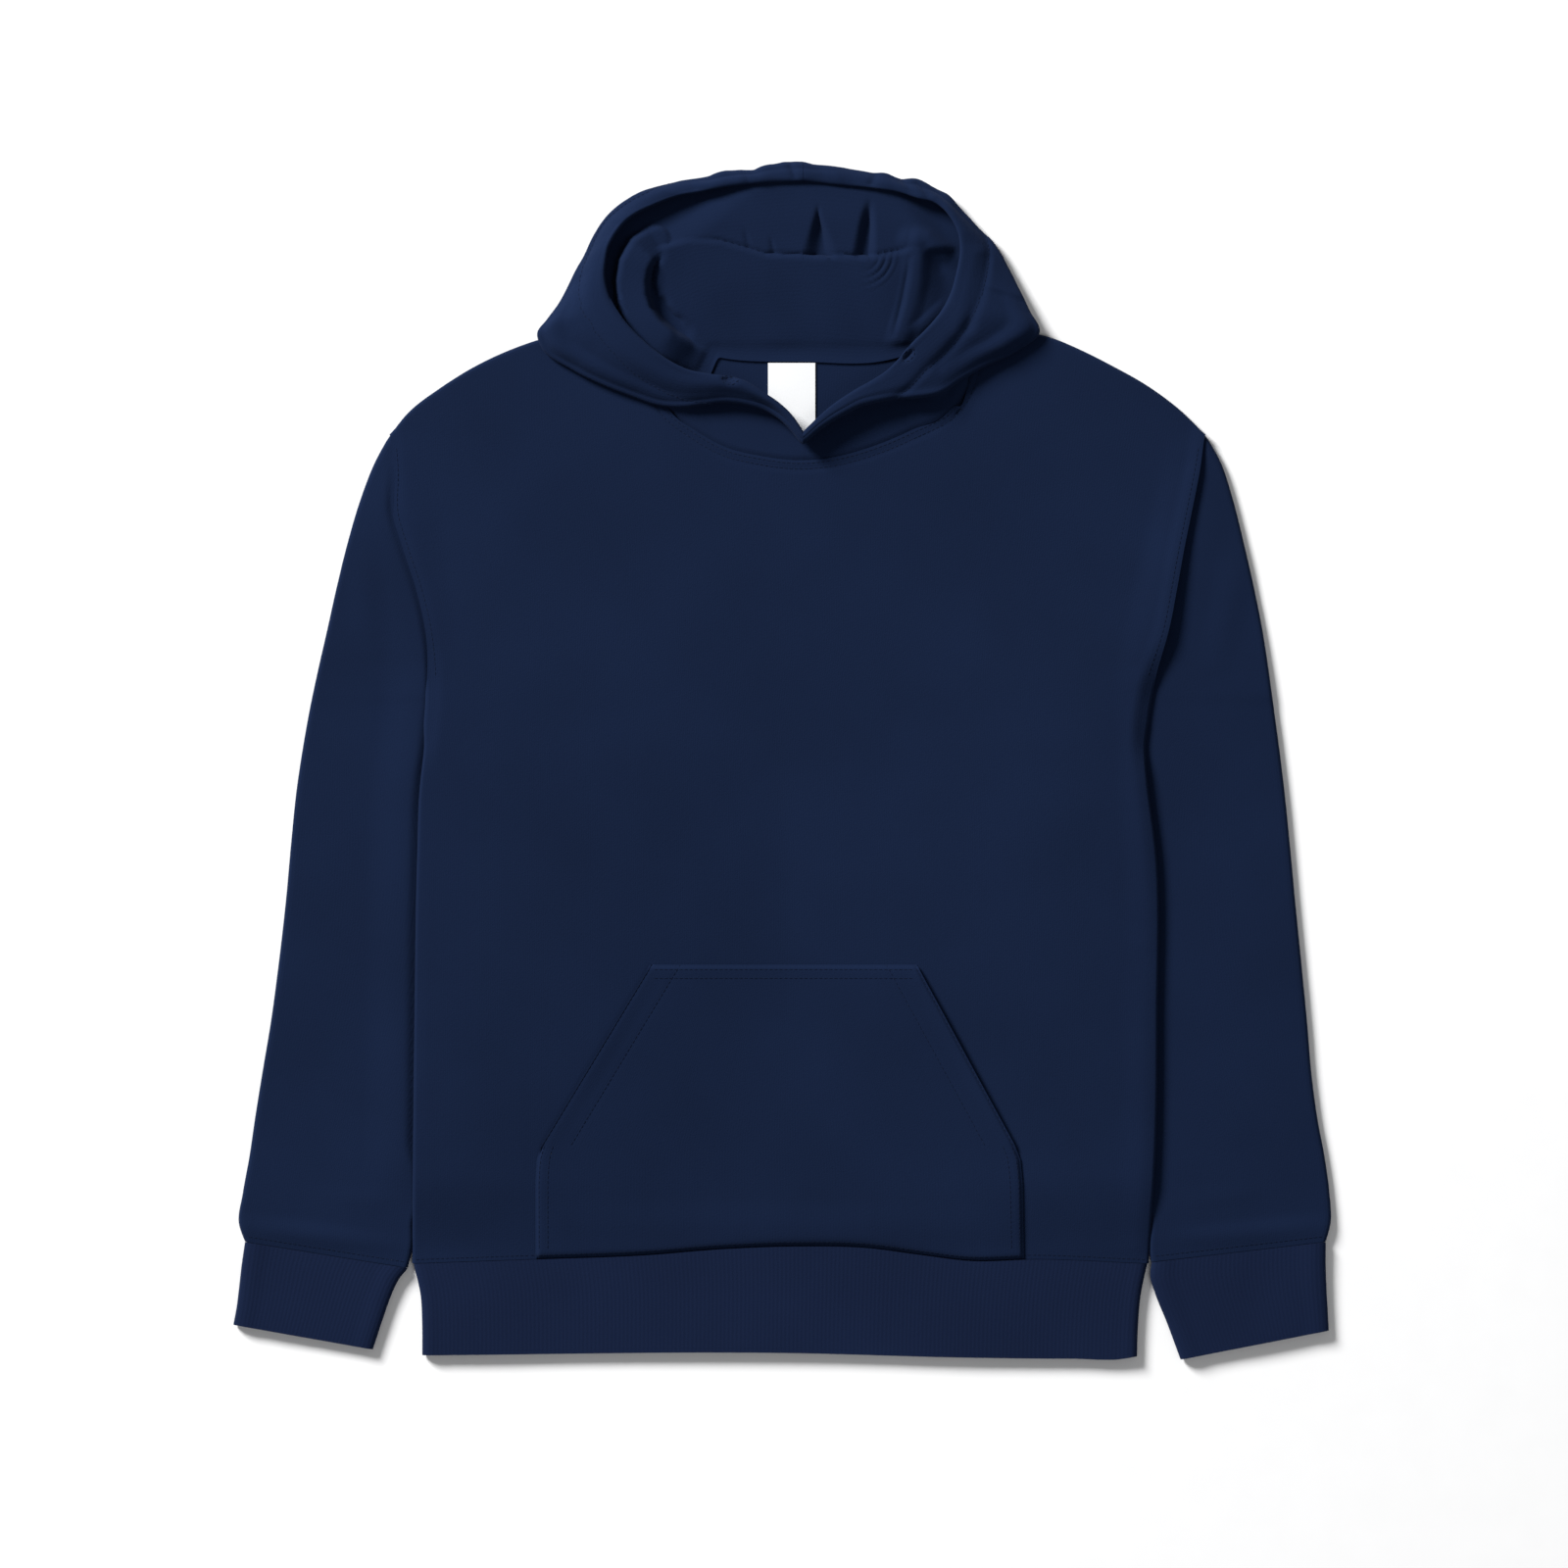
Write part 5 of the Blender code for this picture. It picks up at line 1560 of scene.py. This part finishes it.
def cuff_rows():
    """A row of stitches on each sleeve, above its cuff."""
    rows = []
    for side, name in NAMES.items():
        outer, inner = cuff_line(side)
        inward = unit(inner - outer) * CUFF_ROW
        line = np.array([outer + inward, (outer + inner) / 2, inner - inward]) + (0, CUFF_ROW)
        rows.append(laid_on([search_tree(f"sleeve_{name}_cloth")], stepped(line)))
    return rows


def hood_rows():
    """The casing's stitches, and two rings of thread round each of its buttonholes."""
    rows = [CASING_LINES[name] for name in NAMES.values()]
    angles = np.linspace(0, 2 * np.pi, 25)
    ring_shape = np.stack([np.cos(angles), np.sin(angles)], axis=1) * BUTTONHOLE / 2
    for middle, turn, cloth in BUTTONHOLES:
        hole = ring_shape @ hole_axes(turn)
        trees = [search_tree(cloth)]
        for size, sink in ((1, 0.05), (0.6, 0.25)):
            rows.append(laid_on(trees, hole * size + middle, sink))
    return rows


# Finishes of the knitted cloths: setting of the colour, distance of the wales, their depth, and how
# fine the fuzz is
FINISHES = {
    "brushed fleece": ("fleece", 0.0016, 0.00004, 900.0),
    "fine rib": ("rib", 0.0028, 0.00014, 1100.0),
    "sewing thread": ("thread", 0.0004, 0.00005, 2500.0),
}
THREAD_SHEEN = 0.1


def cloth_material(name):
    """The material of a knitted cloth, made when it is first asked for."""
    setting, *finish = FINISHES[name]
    colours = bpy.context.scene.hoodie_colours
    sheen = THREAD_SHEEN if setting == "thread" else colours.softness
    known = bpy.data.materials.get(name)
    return known or knit_material(name, getattr(colours, setting), *finish, sheen)


def fleece_settings():
    """The thickness of the fleece, the height of its folds and its material."""
    sizes = bpy.context.scene.hoodie_sizes
    return sizes.fleece / MM, sizes.folds, cloth_material("brushed fleece")


class HoodieSizes(PropertyGroup):
    fleece: FloatProperty(
        name="Fleece thickness", description="Thickness of the brushed fleece",
        default=0.0023, min=0.0015, max=0.003, precision=4, unit="LENGTH", subtype="DISTANCE")
    folds: FloatProperty(
        name="Folds", description="Height of the soft folds, as a share of the usual one",
        default=1.0, min=0.0, max=1.5, subtype="FACTOR")
    stitch_step: FloatProperty(
        name="Stitch step", description="Distance from one stitch to the next",
        default=STITCH_STEP * MM, min=0.002, max=0.006, precision=4, unit="LENGTH",
        subtype="DISTANCE")
    thread: FloatProperty(
        name="Thread", description="Thickness of the sewing thread",
        default=THREAD * MM, min=0.0002, max=0.001, precision=4, unit="LENGTH", subtype="DISTANCE")


class HoodieColours(PropertyGroup):
    fleece: FloatVectorProperty(
        name="Fleece", description="Colour of the body, sleeves, hood and pocket",
        default=(0.0057, 0.0124, 0.0370), size=3, min=0, max=1, subtype="COLOR")
    rib: FloatVectorProperty(
        name="Rib", description="Colour of the hem band and the cuffs",
        default=(0.0063, 0.0123, 0.0372), size=3, min=0, max=1, subtype="COLOR")
    # The thread is darker than the fleece: partly the thread's own colour, partly painted shade, so
    # the rows of stitches show as the dark lines that shade gives sewn seams
    thread: FloatVectorProperty(
        name="Thread", description="Colour of the stitches",
        default=(0.0030, 0.0060, 0.018), size=3, min=0, max=1, subtype="COLOR")
    label: FloatVectorProperty(
        name="Label", description="Colour of the bare neck label",
        default=(0.85, 0.86, 0.87), size=3, min=0, max=1, subtype="COLOR")
    softness: FloatProperty(
        name="Fuzz", description="Sheen of the brushed surface",
        default=0.03, min=0, max=1, subtype="FACTOR")


class HOODIE_OT_body(Operator):
    """Sews the front and back panels"""

    bl_idname = "hoodie.body"
    bl_label = "Body panels"

    def execute(self, context):
        make_body(*fleece_settings())
        return {"FINISHED"}


class HOODIE_OT_sleeves(Operator):
    """Sews both sleeves"""

    bl_idname = "hoodie.sleeves"
    bl_label = "Sleeves"

    def execute(self, context):
        make_sleeves(*fleece_settings())
        return {"FINISHED"}


class HOODIE_OT_bands(Operator):
    """Sews the ribbed hem band and cuffs"""

    bl_idname = "hoodie.bands"
    bl_label = "Hem band and cuffs"

    def execute(self, context):
        make_bands(context.scene.hoodie_sizes.folds, cloth_material("fine rib"))
        return {"FINISHED"}


class HOODIE_OT_pocket(Operator):
    """Sews the pocket on the front"""

    bl_idname = "hoodie.pocket"
    bl_label = "Pocket"

    def execute(self, context):
        make_pocket(*fleece_settings())
        return {"FINISHED"}


class HOODIE_OT_hood(Operator):
    """Sews both halves of the hood, with the folds inside it"""

    bl_idname = "hoodie.hood"
    bl_label = "Hood"

    def execute(self, context):
        make_hood(*fleece_settings())
        return {"FINISHED"}


class HOODIE_OT_stitches(Operator):
    """Sews the rows of stitches and the buttonholes"""

    bl_idname = "hoodie.stitches"
    bl_label = "Stitches"

    def execute(self, context):
        thread = cloth_material("sewing thread")
        sew_rows("body_stitches", body_rows(), thread)
        sew_rows("cuff_stitches", cuff_rows(), thread)
        sew_rows("hood_stitches", hood_rows(), thread)
        return {"FINISHED"}


class HOODIE_OT_label(Operator):
    """Sews the bare neck label"""

    bl_idname = "hoodie.label"
    bl_label = "Neck label"

    def execute(self, context):
        make_label(woven_material("woven label", context.scene.hoodie_colours.label))
        return {"FINISHED"}


# The studio: width and middle of what the camera sees, its height, and the floor's size and drop
VIEW_WIDTH_M = 1.080
VIEW_MIDDLE_M = (0.00136, -0.0146)
CAMERA_HEIGHT_M = 6.0
SENSOR = 36
FLOOR_REACH_M = 30
FLOOR_DROP_M = 0.0002
# Lights that point at the middle of the floor: name, place, width, power
LIGHTS = (
    ("key light", (-5.7, 5.5, 4.4), 3.2, 1530),
    ("fill light", (3.0, -3.0, 8.0), 5.0, 100),
)
AIR = {"Color": (0.97, 0.98, 1.0, 1), "Strength": 0.19}


def area_light(name, place, size, power):
    """A round soft light that points at the middle of the floor."""
    light = bpy.data.lights.new(name, "AREA")
    light.energy = power
    light.shape = "DISK"
    light.size = size
    lamp = bpy.data.objects.new(name, light)
    lamp.location = place
    lamp.rotation_euler = (-Vector(place)).to_track_quat("-Z", "Y").to_euler()
    bpy.context.scene.collection.objects.link(lamp)


def pale_floor():
    """A wide light floor with a fine grain."""
    mesh = bpy.data.meshes.new("studio_floor")
    corners = np.array([(-1, -1, 0), (1, -1, 0), (1, 1, 0), (-1, 1, 0)]) * FLOOR_REACH_M
    mesh.from_pydata(corners.tolist(), [], [(0, 1, 2, 3)])
    material, nodes, links, shader = new_material("pale floor")
    place = nodes.new("ShaderNodeTexCoord")
    grain = add_node(nodes, "ShaderNodeTexNoise", {"Scale": 40.0, "Detail": 2.0})
    join(links, ((place, "Object", grain, "Vector"),))
    shade_by(grain, "Fac", nodes, links, shader, [0.93] * 3, [0.96] * 3)
    set_inputs(shader, {"Roughness": 0.9, "Specular IOR Level": 0.1})
    floor = add_piece("studio_floor", mesh, material)
    floor.location.z = -FLOOR_DROP_M


class HOODIE_OT_stage(Operator):
    """Sets the floor, the soft light and the camera straight above"""

    bl_idname = "hoodie.stage"
    bl_label = "Studio"

    def execute(self, context):
        scene = context.scene
        pale_floor()
        world = bpy.data.worlds.new("studio air")
        world.use_nodes = True
        set_inputs(world.node_tree.nodes["Background"], AIR)
        scene.world = world
        for light in LIGHTS:
            area_light(*light)
        scene.view_settings.view_transform = "Standard"
        lens = bpy.data.cameras.new("camera")
        lens.sensor_width = SENSOR
        lens.lens = SENSOR * CAMERA_HEIGHT_M / VIEW_WIDTH_M
        camera = bpy.data.objects.new("camera", lens)
        camera.location = (*VIEW_MIDDLE_M, CAMERA_HEIGHT_M)
        scene.collection.objects.link(camera)
        scene.camera = camera
        return {"FINISHED"}


class HOODIE_PT_panel(Panel):
    bl_label = "Hoodie"
    bl_idname = "HOODIE_PT_panel"
    bl_space_type = "VIEW_3D"
    bl_region_type = "UI"
    bl_category = "Hoodie"

    def draw(self, context):
        layout = self.layout
        for group in (context.scene.hoodie_sizes, context.scene.hoodie_colours):
            for name in type(group).__annotations__:
                layout.prop(group, name)
        for step in STEPS:
            layout.operator(step.bl_idname)


STEPS = (
    HOODIE_OT_body,
    HOODIE_OT_sleeves,
    HOODIE_OT_bands,
    HOODIE_OT_pocket,
    HOODIE_OT_hood,
    HOODIE_OT_label,
    HOODIE_OT_stitches,
    HOODIE_OT_stage,
)
CLASSES = (HoodieSizes, HoodieColours, *STEPS, HOODIE_PT_panel)


def register():
    for kind in CLASSES:
        bpy.utils.register_class(kind)
    bpy.types.Scene.hoodie_sizes = PointerProperty(type=HoodieSizes)
    bpy.types.Scene.hoodie_colours = PointerProperty(type=HoodieColours)


def unregister():
    del bpy.types.Scene.hoodie_colours
    del bpy.types.Scene.hoodie_sizes
    for kind in reversed(CLASSES):
        bpy.utils.unregister_class(kind)


def main():
    register()
    bpy.ops.hoodie.body()
    bpy.ops.hoodie.sleeves()
    bpy.ops.hoodie.bands()
    bpy.ops.hoodie.pocket()
    bpy.ops.hoodie.hood()
    bpy.ops.hoodie.label()
    bpy.ops.hoodie.stitches()
    bpy.ops.hoodie.stage()


if __name__ == "__main__":
    main()
